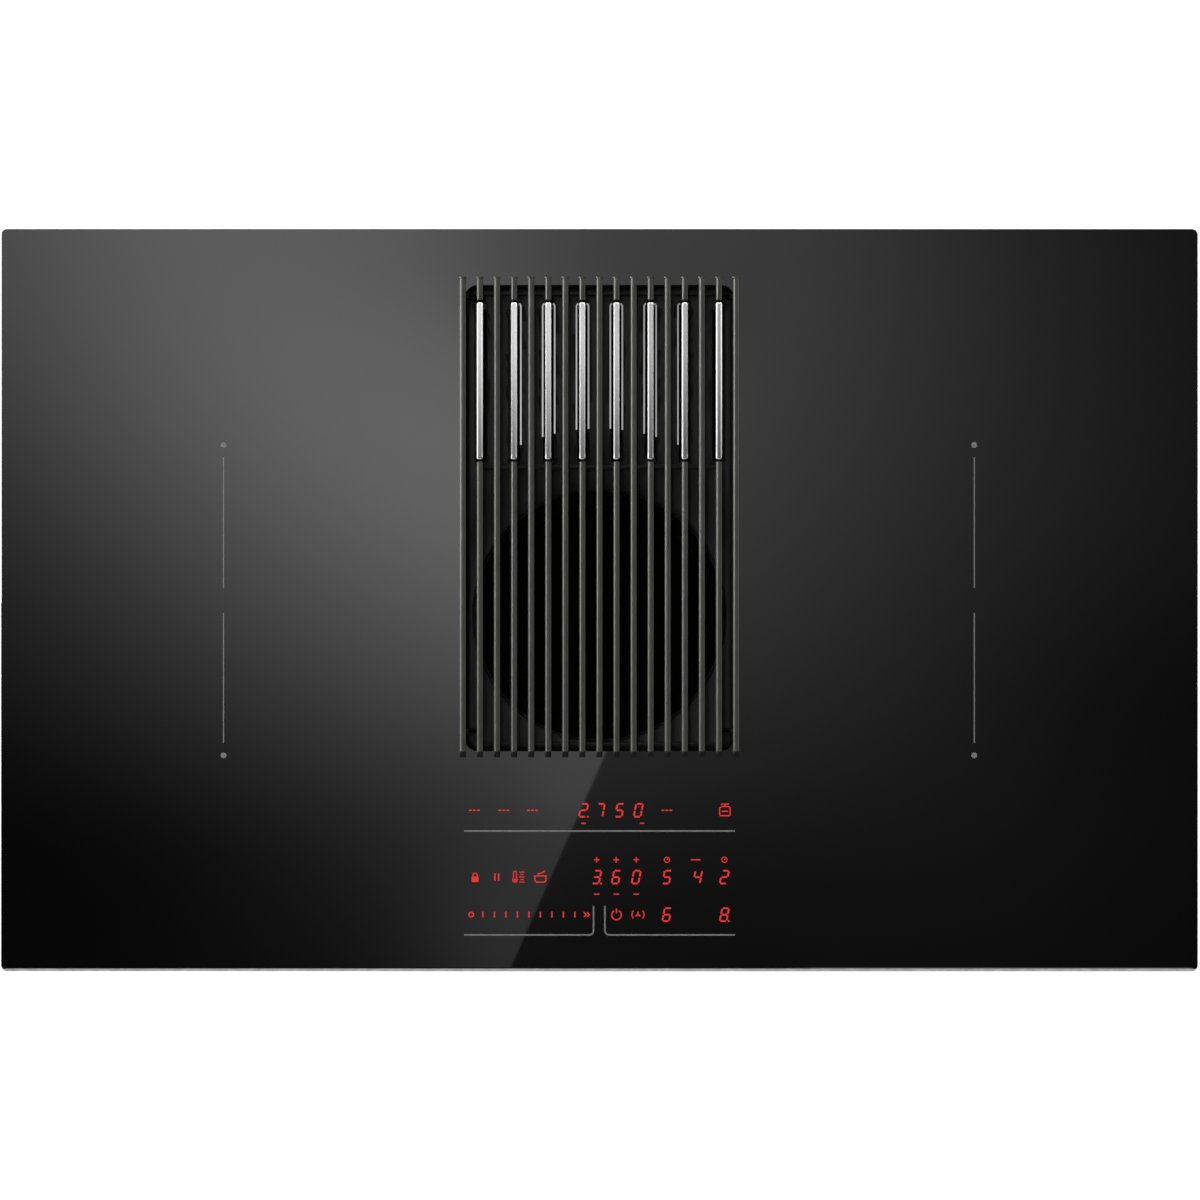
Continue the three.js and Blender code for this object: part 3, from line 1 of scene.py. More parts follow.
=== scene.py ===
"""Looks of a downdraft induction cooktop, built round its CAD frame. Metres, +Z up, +Y to the rear."""

import json
import math

import bmesh
import bpy
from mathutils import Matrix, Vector


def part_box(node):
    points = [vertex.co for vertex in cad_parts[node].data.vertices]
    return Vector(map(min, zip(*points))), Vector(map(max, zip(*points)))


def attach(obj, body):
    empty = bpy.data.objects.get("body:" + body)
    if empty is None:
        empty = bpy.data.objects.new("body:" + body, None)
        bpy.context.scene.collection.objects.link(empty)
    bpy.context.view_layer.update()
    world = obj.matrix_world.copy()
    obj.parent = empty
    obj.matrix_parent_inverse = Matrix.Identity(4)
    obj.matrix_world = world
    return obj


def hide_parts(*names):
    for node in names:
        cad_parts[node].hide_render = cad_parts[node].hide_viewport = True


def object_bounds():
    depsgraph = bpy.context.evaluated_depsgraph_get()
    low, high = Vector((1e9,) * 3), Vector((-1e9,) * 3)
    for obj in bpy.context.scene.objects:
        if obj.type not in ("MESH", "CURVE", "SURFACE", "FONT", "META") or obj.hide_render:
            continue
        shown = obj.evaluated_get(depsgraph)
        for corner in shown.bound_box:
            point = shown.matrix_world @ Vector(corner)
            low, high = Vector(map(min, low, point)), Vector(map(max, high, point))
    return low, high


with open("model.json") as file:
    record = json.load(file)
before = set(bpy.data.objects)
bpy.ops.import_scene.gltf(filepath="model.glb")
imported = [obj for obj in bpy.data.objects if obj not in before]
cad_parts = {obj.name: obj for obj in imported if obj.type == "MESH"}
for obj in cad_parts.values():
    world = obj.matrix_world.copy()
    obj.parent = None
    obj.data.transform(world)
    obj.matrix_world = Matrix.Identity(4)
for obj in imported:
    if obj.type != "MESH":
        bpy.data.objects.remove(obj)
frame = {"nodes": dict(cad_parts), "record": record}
cad_bounds = [list(corner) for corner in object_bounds()]

MM = 0.001
SMOOTH_ANGLE = 28  # gentler edges of the CAD nodes are shaded smooth

# ---------------- places taken from the frame
GLASS_LOW, GLASS_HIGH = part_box("glass_top")
GRILLE_LOW, GRILLE_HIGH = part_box("grille")
TRAY_LOW, TRAY_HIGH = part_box("base_tray")
HOUSING_LOW, HOUSING_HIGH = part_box("blower_base")
DUCT_LOW, DUCT_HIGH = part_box("suction_duct")
BLADES = [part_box(f"scale_blade_{i + 1}") for i in range(8)]

GLASS_TOP = GLASS_HIGH.z
BAR_TOP = GRILLE_HIGH.z
AXIS = Vector(((DUCT_LOW.x + DUCT_HIGH.x) / 2, (DUCT_LOW.y + DUCT_HIGH.y) / 2, 0))

# ---------------- sizes that the frame doesn't give
WELL_WIDTH = 187 * MM
WELL_REAR = 218.1 * MM
WELL_FRONT = -104.3 * MM
WELL_CORNER = 9.5 * MM
WELL_DEPTH = 30 * MM
FLANGE_WIDTH = 9 * MM
WALL = 2 * MM
ORIFICE_RADIUS = 88 * MM
DISH_RADIUS = 130.6 * MM
DISH_DROP = 4 * MM
THROAT_DEPTH = 9 * MM
LEDGE_WIDTH = 4 * MM

BAR_COUNT = 17
BAR_WIDTH = 4.2 * MM
BAR_TAB = 2.7 * MM
BAR_CHAMFER = 1.1 * MM
BAR_NOSE = 4 * MM
BAR_CAP = 0.8 * MM
BAR_CAP_LEDGE = 0.35 * MM
FIN_TOP_WIDTH = 3.4 * MM
FIN_FOOT_WIDTH = 2.5 * MM
FIN_WALL_CLEARANCE = 1.2 * MM
RAIL_WIDTH = 3 * MM
RAIL_HEIGHT = 6 * MM
BLADE_END_GAP = 1.6 * MM
SLOT_CLEARANCE = 1.5 * MM
SLOT_END_CLEARANCE = 1.7 * MM
LIP_WIDTH = 1.2 * MM
LIP_HEIGHT = 1.5 * MM

WELL_FLOOR = GLASS_TOP - WELL_DEPTH
WELL_CENTRE_Y = (WELL_REAR + WELL_FRONT) / 2
WELL_LENGTH = WELL_REAR - WELL_FRONT
DISH_EDGE = WELL_FLOOR - DISH_DROP
LEDGE_TOP = DISH_EDGE - THROAT_DEPTH

# ---------------- the photograph's frame
PHOTO_SIZE = 1200
PHOTO_SCALE = 1442.4  # pixels per metre at the glass
PHOTO_CENTRE = (599.4, 600.25)  # pixel of the cooktop's middle
CAMERA_HEIGHT = 3.1  # above the glass


def at_pixel(px, py):
    """The place on the glass that the photograph shows at a pixel."""
    return (px - PHOTO_CENTRE[0]) / PHOTO_SCALE, (PHOTO_CENTRE[1] - py) / PHOTO_SCALE


def pixels(count):
    return count / PHOTO_SCALE


# ---------------- outlines and profiles
def rounded_rect(width, depth, radius, centre=(0.0, 0.0), steps=8):
    """An anticlockwise rectangle with round corners."""
    points = []
    for corner, (sx, sy) in enumerate([(1, -1), (1, 1), (-1, 1), (-1, -1)]):
        cx = centre[0] + sx * (width / 2 - radius)
        cy = centre[1] + sy * (depth / 2 - radius)
        for i in range(steps + 1):
            angle = math.radians(90 * (corner - 1 + i / steps))
            points.append((cx + radius * math.cos(angle), cy + radius * math.sin(angle)))
    return points


def circle(radius, centre, sides):
    turn = 2 * math.pi / sides
    return [
        (centre[0] + radius * math.cos(turn * i), centre[1] + radius * math.sin(turn * i))
        for i in range(sides)
    ]


def softened(points, radius, steps):
    """The same closed outline with its corners rounded."""
    result = []
    for i, point in enumerate(points):
        here = Vector(point)
        to_before = Vector(points[i - 1]) - here
        to_after = Vector(points[(i + 1) % len(points)]) - here
        cut = min(radius, 0.45 * to_before.length, 0.45 * to_after.length)
        start = here + to_before.normalized() * cut
        end = here + to_after.normalized() * cut
        for k in range(steps + 1):
            t = k / steps
            bend = start * (1 - t) ** 2 + here * (2 * t * (1 - t)) + end * t**2
            result.append(tuple(bend))
    return result


def offset_path(points, distance, closed=False):
    """An XY path moved to its right-hand side by a distance."""
    count = len(points)
    result = []
    for i, point in enumerate(points):
        here = Vector(point)
        ahead = Vector(points[(i + 1) % count]) - here if closed or i < count - 1 else None
        behind = here - Vector(points[i - 1]) if closed or i > 0 else None
        first = (behind or ahead).normalized()
        second = (ahead or behind).normalized()
        normal = Vector((first.y + second.y, -first.x - second.x)).normalized()
        cosine = max(0.4, normal.dot(Vector((second.y, -second.x))))
        result.append(tuple(here + normal * (distance / cosine)))
    return result


def level(points, z):
    return [(x, y, z) for x, y in points]


# ---------------- meshes
class Shape:
    """Collects closed shells and makes one object of them; a tag is a face's place in the materials."""

    def __init__(self):
        self.verts = []
        self.faces = []
        self.tags = []

    def loft(self, loops, closed=False, tag=0, tags=None):
        """Skins loops of equal length; the ends are capped, unless the last loop meets the first."""
        size, start = len(loops[0]), len(self.verts)
        self.verts.extend(tuple(v) for loop in loops for v in loop)
        for j in range(len(loops) if closed else len(loops) - 1):
            low, high = start + j * size, start + (j + 1) % len(loops) * size
            for i in range(size):
                k = (i + 1) % size
                self.faces.append((low + i, low + k, high + k, high + i))
            self.tags.extend([tags[j] if tags else tag] * size)
        if not closed:
            self.faces.append(tuple(reversed(range(start, start + size))))
            self.faces.append(tuple(range(len(self.verts) - size, len(self.verts))))
            self.tags.extend([tag, tag])
        return self

    def prism(self, outline, z0, z1, edge=0.0):
        """An outline raised from z0 to z1; its top and bottom edges are rounded by edge."""
        turns = [math.radians(45 * k) for k in range(3)]
        rounds = [(edge * (1 - math.sin(turn)), edge * (1 - math.cos(turn))) for turn in turns]
        loops = [level(offset_path(outline, -inset, True), z0 + rise) for inset, rise in rounds]
        loops += [level(offset_path(outline, -inset, True), z1 - rise) for inset, rise in reversed(rounds)]
        return self.loft(loops)

    def block(self, low, high, edge, tag=0):
        """A box with rounded edges."""
        width, depth, height = (b - a for a, b in zip(low, high))
        edge = min(edge, 0.4 * width, 0.4 * depth, 0.4 * height)
        centre = ((low[0] + high[0]) / 2, (low[1] + high[1]) / 2)
        outline = rounded_rect(width, depth, edge, centre, 3)
        steps = [(edge, low[2]), (0.3 * edge, low[2] + 0.3 * edge), (0.0, low[2] + edge)]
        steps += [(0.0, high[2] - edge), (0.3 * edge, high[2] - 0.3 * edge), (edge, high[2])]
        loops = [level(shrunk(outline, centre, inset, width, depth), z) for inset, z in steps]
        return self.loft(loops, tag=tag)

    def make(self, name, materials, body, replaces=None, slot=None, angle=32):
        """The object, shaded smooth over edges gentler than angle."""
        mesh = bpy.data.meshes.new(name)
        mesh.from_pydata(self.verts, [], self.faces)
        mesh.validate()
        for item in materials if isinstance(materials, list) else [materials]:
            mesh.materials.append(item)
        mesh.polygons.foreach_set("material_index", self.tags[: len(mesh.polygons)])
        return settle(add_object(name, mesh), body, replaces, angle)


def add_object(name, data):
    obj = bpy.data.objects.new(name, data)
    bpy.context.scene.collection.objects.link(obj)
    return obj


def settle(obj, body, replaces, angle):
    """Gives a mesh clean normals and smooth shading, ties it to its body and hides the CAD node it replaces.
    """
    mesh = obj.data
    work = bmesh.new()
    work.from_mesh(mesh)
    bmesh.ops.recalc_face_normals(work, faces=work.faces)
    work.to_mesh(mesh)
    work.free()
    mesh.polygons.foreach_set("use_smooth", [True] * len(mesh.polygons))
    mesh.set_sharp_from_angle(angle=math.radians(angle))
    if body:
        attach(obj, body)
    if replaces:
        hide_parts(replaces)
    return obj


def shrunk(outline, centre, inset, width, depth):
    """A rectangle's outline drawn in by an inset on each side."""
    sx, sy = 1 - 2 * inset / width, 1 - 2 * inset / depth
    return [(centre[0] + (x - centre[0]) * sx, centre[1] + (y - centre[1]) * sy) for x, y in outline]


def cut_away(obj, cutter):
    """Cuts a Shape out of a piece for good."""
    tool = cutter.make("cutter", LOOKS["black_plastic"], None)
    modifier = obj.modifiers.new("cut", "BOOLEAN")
    modifier.operation = "DIFFERENCE"
    modifier.solver = "EXACT"
    modifier.object = tool
    bpy.context.view_layer.update()
    graph = bpy.context.evaluated_depsgraph_get()
    mesh = bpy.data.meshes.new_from_object(obj.evaluated_get(graph))
    obj.modifiers.clear()
    obj.data = mesh
    bpy.data.objects.remove(tool)


def along_y(points, y):
    return [(a, y, b) for a, b in points]


# ---------------- materials
class Nodes:
    """Short calls for the nodes of a material or the world."""

    def __init__(self, owner, place="Object"):
        owner.use_nodes = True
        self.owner = owner
        self.tree = owner.node_tree
        self.shader = self.tree.nodes.get("Principled BSDF") or self.tree.nodes["Background"]
        self.place = self.node("ShaderNodeTexCoord").outputs[place]

    def node(self, kind, **settings):
        made = self.tree.nodes.new(kind)
        for key, value in settings.items():
            setattr(made, key, value)
        return made

    def feed(self, target, value):
        """Gives a socket a value or a link; a name means one of the shader's sockets."""
        socket = self.shader.inputs[target] if isinstance(target, str) else target
        if isinstance(value, bpy.types.NodeSocket):
            self.tree.links.new(value, socket)
        else:
            socket.default_value = value

    def fill(self, node, **values):
        """Feeds a node's sockets, named with _ for a space."""
        for name, value in values.items():
            self.feed(node.inputs[name.replace("_", " ")], value)
        return node

    def surface(self, socket):
        self.feed(self.tree.nodes["Material Output"].inputs["Surface"], socket)

    def math(self, operation, first, second=None, clamp=False):
        made = self.node("ShaderNodeMath", operation=operation, use_clamp=clamp)
        self.feed(made.inputs[0], first)
        if second is not None:
            self.feed(made.inputs[1], second)
        return made.outputs[0]

    def parts(self):
        """The place's X, Y and Z."""
        return self.fill(self.node("ShaderNodeSeparateXYZ"), Vector=self.place).outputs

    def noise(self, scale, detail=3.0, rough=0.55, stretch=None):
        place = self.place
        if stretch:
            mapping = self.fill(self.node("ShaderNodeMapping"), Scale=stretch, Vector=place)
            place = mapping.outputs["Vector"]
        made = self.node("ShaderNodeTexNoise")
        return self.fill(made, Scale=scale, Detail=detail, Roughness=rough, Vector=place).outputs["Fac"]

    def ramp(self, value, stops):
        made = self.node("ShaderNodeValToRGB")
        for element, (position, colour) in zip(made.color_ramp.elements, stops):
            element.position = position
            element.color = (*colour, 1.0)
        return self.fill(made, Fac=value).outputs["Color"]

    def shades(self, value, colour, low, high):
        """A colour that varies between two multiples of itself."""
        return self.ramp(value, [(0.3, tone(colour, low)), (0.7, tone(colour, high))])

    def spread(self, value, low, high, start=0.25, end=0.75, kind="LINEAR"):
        """Maps start to end onto low to high."""
        made = self.node("ShaderNodeMapRange", interpolation_type=kind)
        self.fill(made, Value=value, From_Min=start, From_Max=end, To_Min=low, To_Max=high)
        return made.outputs["Result"]

    def bump(self, height, strength, distance=0.0002):
        made = self.fill(self.node("ShaderNodeBump"), Strength=strength, Distance=distance, Height=height)
        self.feed("Normal", made.outputs["Normal"])


def new_kit(name):
    return Nodes(bpy.data.materials.new(name))


def tone(colour, factor):
    return tuple(min(1.0, c * factor) for c in colour)


def finish(name, colour, roughness, metallic=0.0, blotch=(35, 0.12), grain=(900, 0.12),
           stretch=None, gloss_spread=0.06, specular=0.5):
    """A material whose colour, gloss and relief vary: blotch and grain are (scale, amount)."""
    kit = new_kit(name)
    kit.feed("Metallic", metallic)
    kit.feed("Specular IOR Level", specular)
    patches = kit.noise(blotch[0], 4.0, 0.6, stretch)
    kit.feed("Base Color", kit.shades(patches, colour, 1 - blotch[1], 1 + blotch[1]))
    fine = kit.noise(grain[0], 2.0, 0.5, stretch)
    kit.feed("Roughness", kit.spread(fine, roughness - gloss_spread, roughness + gloss_spread))
    kit.bump(fine, grain[1])
    return kit.owner


def zinc():
    """Zinc plated sheet: pale metal with a faint crystal pattern."""
    kit = new_kit("galvanised_steel")
    kit.feed("Metallic", 0.9)
    cells = kit.fill(kit.node("ShaderNodeTexVoronoi", feature="F1"), Scale=150.0, Vector=kit.place)
    split = kit.fill(kit.node("ShaderNodeSeparateColor"), Color=cells.outputs["Color"])
    stops = [(0.0, (0.42, 0.43, 0.44)), (1.0, (0.48, 0.49, 0.50))]
    kit.feed("Base Color", kit.ramp(split.outputs[0], stops))
    kit.feed("Roughness", kit.spread(split.outputs[1], 0.34, 0.42))
    kit.bump(kit.noise(240), 0.05)
    return kit.owner


def brushed(name, colour, roughness, direction, gloss_spread=0.04):
    """Metal with fine lines along one axis."""
    stretch = tuple(0.02 if axis == direction else 1.0 for axis in "xyz")
    return finish(name, colour, roughness, metallic=1.0, blotch=(900, 0.05), grain=(2600, 0.03),
                  stretch=stretch, gloss_spread=gloss_spread)


def board_green():
    """Solder mask over copper tracks."""
    kit = new_kit("circuit_board")
    kit.feed("Roughness", 0.35)
    tracks = kit.fill(
        kit.node("ShaderNodeTexBrick"), Scale=160.0, Mortar_Size=0.03, Color1=(0.010, 0.085, 0.036, 1),
        Color2=(0.013, 0.105, 0.045, 1), Mortar=(0.020, 0.150, 0.060, 1), Vector=kit.place,
    )
    kit.feed("Base Color", tracks.outputs["Color"])
    kit.bump(tracks.outputs["Fac"], 0.1)
    return kit.owner


WIRE_PITCH = 1.6 * MM
WIRE_COUNT = 300  # round the filter
WIRE_RELIEF = 0.4 * MM


def wire_mesh_painted_shade():
    """Wire cloth painted near-black as shade in the deep orifice: two sets of fine raised wires."""
    kit = new_kit("wire_mesh_painted_shade")
    kit.feed("Metallic", 0.4)
    kit.feed("Specular IOR Level", 0.2)
    x, y, z = kit.parts()
    turn = kit.math("ARCTAN2", kit.math("SUBTRACT", y, AXIS.y), x)
    round_wires = kit.math("SINE", kit.math("MULTIPLY", z, 2 * math.pi / WIRE_PITCH))
    upright_wires = kit.math("SINE", kit.math("MULTIPLY", turn, WIRE_COUNT))
    wires = kit.math("MAXIMUM", round_wires, upright_wires)
    kit.feed("Base Color", kit.ramp(wires, [(0.2, (0.0010, 0.0010, 0.0010)), (0.9, (0.006, 0.006, 0.006))]))
    kit.feed("Roughness", kit.spread(kit.noise(800), 0.42, 0.6))
    kit.bump(wires, 0.7, WIRE_RELIEF)
    return kit.owner


def glowing(name, colour):
    """A lit sign: its own colour, slightly uneven."""
    kit = new_kit(name)
    kit.feed("Roughness", 0.4)
    kit.feed("Emission Strength", 1.0)
    uneven = kit.noise(700, 2.0)
    kit.feed("Base Color", kit.shades(uneven, colour, 0.04, 0.08))
    kit.feed("Emission Color", kit.shades(uneven, colour, 0.9, 1.1))
    return kit.owner


LOOKS = {
    "black_glass": finish("black_glass", (0.0022, 0.0022, 0.0023), 0.012, blotch=(3, 0.2),
                          grain=(40, 0.0), gloss_spread=0.004, specular=1.0),
    "cast_iron": finish("cast_iron", (0.052, 0.052, 0.045), 0.33, blotch=(60, 0.14),
                        grain=(1500, 0.10), gloss_spread=0.03),
    "black_plastic": finish("black_plastic", (0.034, 0.034, 0.032), 0.42, grain=(1800, 0.2)),
    "grey_plastic": finish("grey_plastic", (0.105, 0.108, 0.112), 0.5, grain=(1800, 0.2)),
    "silicone": finish("silicone", (0.020, 0.020, 0.021), 0.72, grain=(1200, 0.25)),
    "galvanised_steel": zinc(),
    "aluminium": brushed("aluminium", (0.58, 0.59, 0.60), 0.32, "x"),
    "copper_winding": finish("copper_winding", (0.50, 0.19, 0.075), 0.34, metallic=0.9, grain=(1500, 0.2)),
    "circuit_board": board_green(),
    "red_display": finish("red_display", (0.16, 0.01, 0.01), 0.25, grain=(600, 0.05)),
}
# Painted shade: a near-black copy of the cast iron for the bars' front slopes, the fins and the side arms
CAST_SHADE = finish("cast_iron_painted_shade", (0.008, 0.008, 0.007), 0.6, blotch=(60, 0.2), grain=(1500, 0.22),
                    specular=0.2)
# Painted shade: a darker copy of the cast iron for the cross rails deep in the recess
CAST_RAIL_SHADE = finish("cast_iron_rail_painted_shade", (0.030, 0.030, 0.028), 0.5, blotch=(60, 0.2), grain=(1500, 0.22))
GROUND_EDGE = finish("ground_glass_edge", (0.62, 0.63, 0.63), 0.42, blotch=(140, 0.2), grain=(1600, 0.3))
ENAMEL = finish("enamel_underside", (0.012, 0.012, 0.013), 0.35, grain=(900, 0.15))
# Painted shade: near-black for the filter frame and scale platform deep under the orifice
SHADE_BLACK = finish("painted_shade_black", (0.0022, 0.0022, 0.0022), 0.6, grain=(1500, 0.2), specular=0.1)
SCREW_STEEL = brushed("screw_steel", (0.50, 0.51, 0.52), 0.28, "x")
TRIM_STEEL = brushed("trim_steel", (0.45, 0.45, 0.45), 0.12, "y")
RED_LIGHT = glowing("red_light", (0.74, 0.030, 0.030))
GREY_PRINT = finish("grey_print", (0.20, 0.20, 0.20), 0.5, blotch=(300, 0.1), grain=(1500, 0.1))


# ---------------- glass plate
GLASS_CORNER = 4.2 * MM
GLASS_ARRIS = 0.5 * MM  # small round at the underside and at the recess opening
GLASS_BEVEL = 2.8 * MM  # across the front edge
GROUND_REACH = 4 * MM  # how far the bright front edge goes round the corners
CORNER_STEPS = 12
OPENING_EDGE = 0.4 * MM  # at the underside
# The plate's edge from its side up to its top, as (inset, drop) at the sides and at the front.
GLASS_EDGE = (
    (0.0, 0.6 * MM, 0.0, 1.5 * MM), (0.08 * MM, 0.35 * MM, 0.15 * MM, 1.2 * MM),
    (0.3 * MM, 0.1 * MM, 0.75 * GLASS_BEVEL, 0.28 * MM), (GLASS_ARRIS, 0.0, GLASS_BEVEL, 0.0),
)


def glass_loop(side_inset, side_drop, front_inset, front_drop):
    """The plate's outline, drawn in and lowered; the front edge has its own values."""
    width, depth = GLASS_HIGH.x - GLASS_LOW.x, GLASS_HIGH.y - GLASS_LOW.y
    points = []
    for i, (x, y) in enumerate(rounded_rect(width, depth, GLASS_CORNER, steps=CORNER_STEPS)):
        corner, k = divmod(i, CORNER_STEPS + 1)
        angle = math.radians(90 * (corner - 1 + k / CORNER_STEPS))
        front = max(0.0, -math.sin(angle)) ** 3
        inset = side_inset + (front_inset - side_inset) * front
        drop = side_drop + (front_drop - side_drop) * front
        points.append((x - math.cos(angle) * inset, y - math.sin(angle) * inset, GLASS_TOP - drop))
    return points


def well_loop(outset, z):
    size = (WELL_WIDTH + 2 * outset, WELL_LENGTH + 2 * outset)
    return level(rounded_rect(*size, WELL_CORNER + outset, (0, WELL_CENTRE_Y), CORNER_STEPS), z)


def make_glass():
    thickness = GLASS_TOP - GLASS_LOW.z
    lower = thickness - GLASS_ARRIS
    loops = [glass_loop(GLASS_ARRIS, thickness, GLASS_ARRIS, thickness), glass_loop(0.0, lower, 0.0, lower)]
    loops += [glass_loop(*step) for step in GLASS_EDGE]
    loops += [well_loop(GLASS_ARRIS, GLASS_TOP), well_loop(0.3 * GLASS_ARRIS, GLASS_TOP - 0.3 * GLASS_ARRIS)]
    loops += [well_loop(0.0, GLASS_TOP - GLASS_ARRIS), well_loop(0.0, GLASS_LOW.z + OPENING_EDGE)]
    loops.append(well_loop(OPENING_EDGE, GLASS_LOW.z))
    shape = Shape().loft(loops, closed=True, tags=[0, 0, 0, 1, 0, 0, 0, 0, 0, 0, 2])
    front = GLASS_LOW.y + GROUND_REACH
    for i, face in enumerate(shape.faces):
        if shape.tags[i] == 1 and any(shape.verts[v][1] > front for v in face):
            shape.tags[i] = 0
    materials = [LOOKS["black_glass"], GROUND_EDGE, ENAMEL]
    shape.make("glass_plate", materials, "cooktop", "glass_top", "black_glass", angle=12)


# ---------------- recess tray
WELL_FILLET = 3 * MM
ORIFICE_EDGE = 1.2 * MM
FLANGE_DROP = 1.9 * MM  # below the base tray's rim
FLANGE_SHEET = 1.2 * MM
FLANGE_BEND = (0.5 * MM, 0.6 * MM)  # outward and down
FOOT_INSET = 1.5 * MM
DIRECTIONS = 240
CORNER_DIRECTIONS = 10  # on each side of a corner's middle
CORNER_PITCH = 0.45  # degrees
TINY = 1e-9
SLOT_CORNER = 1.6 * MM
LIP_EDGE = 0.25 * MM
LIP_ROOT = 0.3 * MM
SLOT_CUT_RISE = 4 * MM  # above the floor


def well_boundary(angle, inset):
    """Distance from the orifice's axis to the tray's wall in a direction."""
    half = WELL_WIDTH / 2 - inset
    rear = WELL_REAR - inset - AXIS.y
    front = AXIS.y - WELL_FRONT - inset
    radius = max(WELL_CORNER - inset, 0.5 * MM)
    dx, dy = math.cos(angle), math.sin(angle)
    reach_x = half / abs(dx) if abs(dx) > TINY else 1.0
    reach_y = (rear if dy > 0 else front) / abs(dy) if abs(dy) > TINY else 1.0
    reach = min(reach_x, reach_y)
    cx = math.copysign(half - radius, dx)
    cy = (rear - radius) if dy > 0 else -(front - radius)
    if abs(reach * dx) > half - radius and abs(reach * dy) > abs(cy):
        along = dx * cx + dy * cy
        square = along * along - (cx * cx + cy * cy - radius * radius)
        if square > 0:
            reach = along + math.sqrt(square)
    return reach


def well_angles():
    """Directions from the orifice's axis, closer together at the tray's corners."""
    angles = [2 * math.pi * i / DIRECTIONS for i in range(DIRECTIONS)]
    for sx in (-1, 1):
        for y in (WELL_REAR - WELL_CORNER - AXIS.y, WELL_FRONT + WELL_CORNER - AXIS.y):
            middle = math.atan2(y, sx * (WELL_WIDTH / 2 - WELL_CORNER))
            for k in range(-CORNER_DIRECTIONS, CORNER_DIRECTIONS + 1):
                angles.append((middle + k * math.radians(CORNER_PITCH)) % (2 * math.pi))
    return sorted(set(round(a, 6) for a in angles))


def floor_height(radius):
    share = (DISH_RADIUS - radius) / (DISH_RADIUS - ORIFICE_RADIUS)
    share = min(1.0, max(0.0, share))
    return WELL_FLOOR - DISH_DROP * share * share * (3 - 2 * share)


def make_well():
    """The tray, from the orifice's ledge over the dished floor and up the wall to the flange."""
    angles = well_angles()

    def around(reach, height):
        """A loop with one point in each direction, from its distance and its height there."""
        points = []
        for a in angles:
            radius = reach(a)
            points.append((AXIS.x + radius * math.cos(a), AXIS.y + radius * math.sin(a), height(a, radius)))
        return points

    def ring(radius, z):
        return around(lambda a: radius, lambda a, r: z)

    def wall(inset, z):
        return around(lambda a: well_boundary(a, inset), lambda a, r: z)

    def floor(share):
        inner = ORIFICE_RADIUS + edge
        return around(
            lambda a: inner + (well_boundary(a, WELL_FILLET) - inner) * share, lambda a, r: floor_height(r)
        )

    def fillet(turn):
        rise, inset = WELL_FILLET * (1 - math.cos(turn)), WELL_FILLET * (1 - math.sin(turn))
        return around(
            lambda a: well_boundary(a, inset),
            lambda a, r: floor_height(well_boundary(a, WELL_FILLET)) + rise,
        )

    edge = ORIFICE_EDGE
    flange_top = TRAY_HIGH.z - FLANGE_DROP
    flange_low, flange_reach = flange_top - FLANGE_SHEET, -WALL - FLANGE_WIDTH
    ledge, throat = ORIFICE_RADIUS - LEDGE_WIDTH, ORIFICE_RADIUS + WALL
    loops = [ring(ledge, LEDGE_TOP - WALL), ring(ledge, LEDGE_TOP), ring(ORIFICE_RADIUS, LEDGE_TOP)]
    loops += [ring(ORIFICE_RADIUS, DISH_EDGE - edge)]
    loops += [ring(ORIFICE_RADIUS + 0.35 * edge, DISH_EDGE - 0.35 * edge)]
    loops += [floor(k / 14) for k in range(15)]
    loops += [fillet(math.radians(90 * k / 4)) for k in range(1, 5)]
    loops += [wall(0.0, flange_top - FLANGE_BEND[1]), wall(-FLANGE_BEND[0], flange_top)]
    loops += [wall(flange_reach, flange_top), wall(flange_reach, flange_low), wall(-WALL, flange_low)]
    loops += [wall(-WALL, DISH_EDGE), wall(-WALL + FOOT_INSET, DISH_EDGE - WALL)]
    loops += [ring(throat, DISH_EDGE - WALL), ring(throat, LEDGE_TOP - WALL)]
    shape = Shape().loft(loops, closed=True)
    tray = shape.make("recess_tray", LOOKS["black_plastic"], None, angle=38)
    cutter = Shape()
    for low, high in BLADES:
        cutter.prism(slot_outline(low, high, 0.0), LEDGE_TOP, WELL_FLOOR + SLOT_CUT_RISE)
    cut_away(tray, cutter)
    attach(tray, "cooktop")
    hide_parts("well_tray")


def slot_outline(low, high, margin):
    width = high.x - low.x + 2 * (SLOT_CLEARANCE + margin)
    depth = high.y - low.y + 2 * (SLOT_END_CLEARANCE + margin)
    centre = ((low.x + high.x) / 2, (low.y + high.y) / 2)
    return rounded_rect(width, depth, SLOT_CORNER + margin, centre, 6)


def make_slot_lips():
    """A raised lip round each blade's slot."""
    shape = Shape()
    low_z, high_z = WELL_FLOOR - LIP_ROOT, WELL_FLOOR + LIP_HEIGHT
    steps = [(LIP_WIDTH, low_z), (LIP_WIDTH, high_z - LIP_EDGE), (LIP_WIDTH - LIP_EDGE, high_z)]
    steps += [(LIP_EDGE, high_z), (0.0, high_z - LIP_EDGE), (0.0, low_z)]
    for low, high in BLADES:
        shape.loft([level(slot_outline(low, high, margin), z) for margin, z in steps], closed=True)
    shape.make("slot_lips", LOOKS["black_plastic"], "cooktop", slot="black_plastic", angle=50)


TRIM_WIDTH = 1.3 * MM
TRIM_RISE = 0.25 * MM
TRIM_ROOT = 0.2 * MM
TRIM_EDGE = 0.1 * MM
TRIM_ROUND = 0.08  # of its width, at each top edge
TRIM_BEND = 1.9 * MM
TRIM_TURN = 75  # degrees
TRIM_END_GAP = 0.4 * MM
TRIM_RADIUS = 137 * MM  # the trims end on this circle
TRIM_CENTRE_Y = -16.8 * MM
TRIM_SIDES = {1: (1,), 2: (-1, 1), 3: (-1, 1), 4: (-1, 1), 5: (-1, 1), 6: (-1,)}


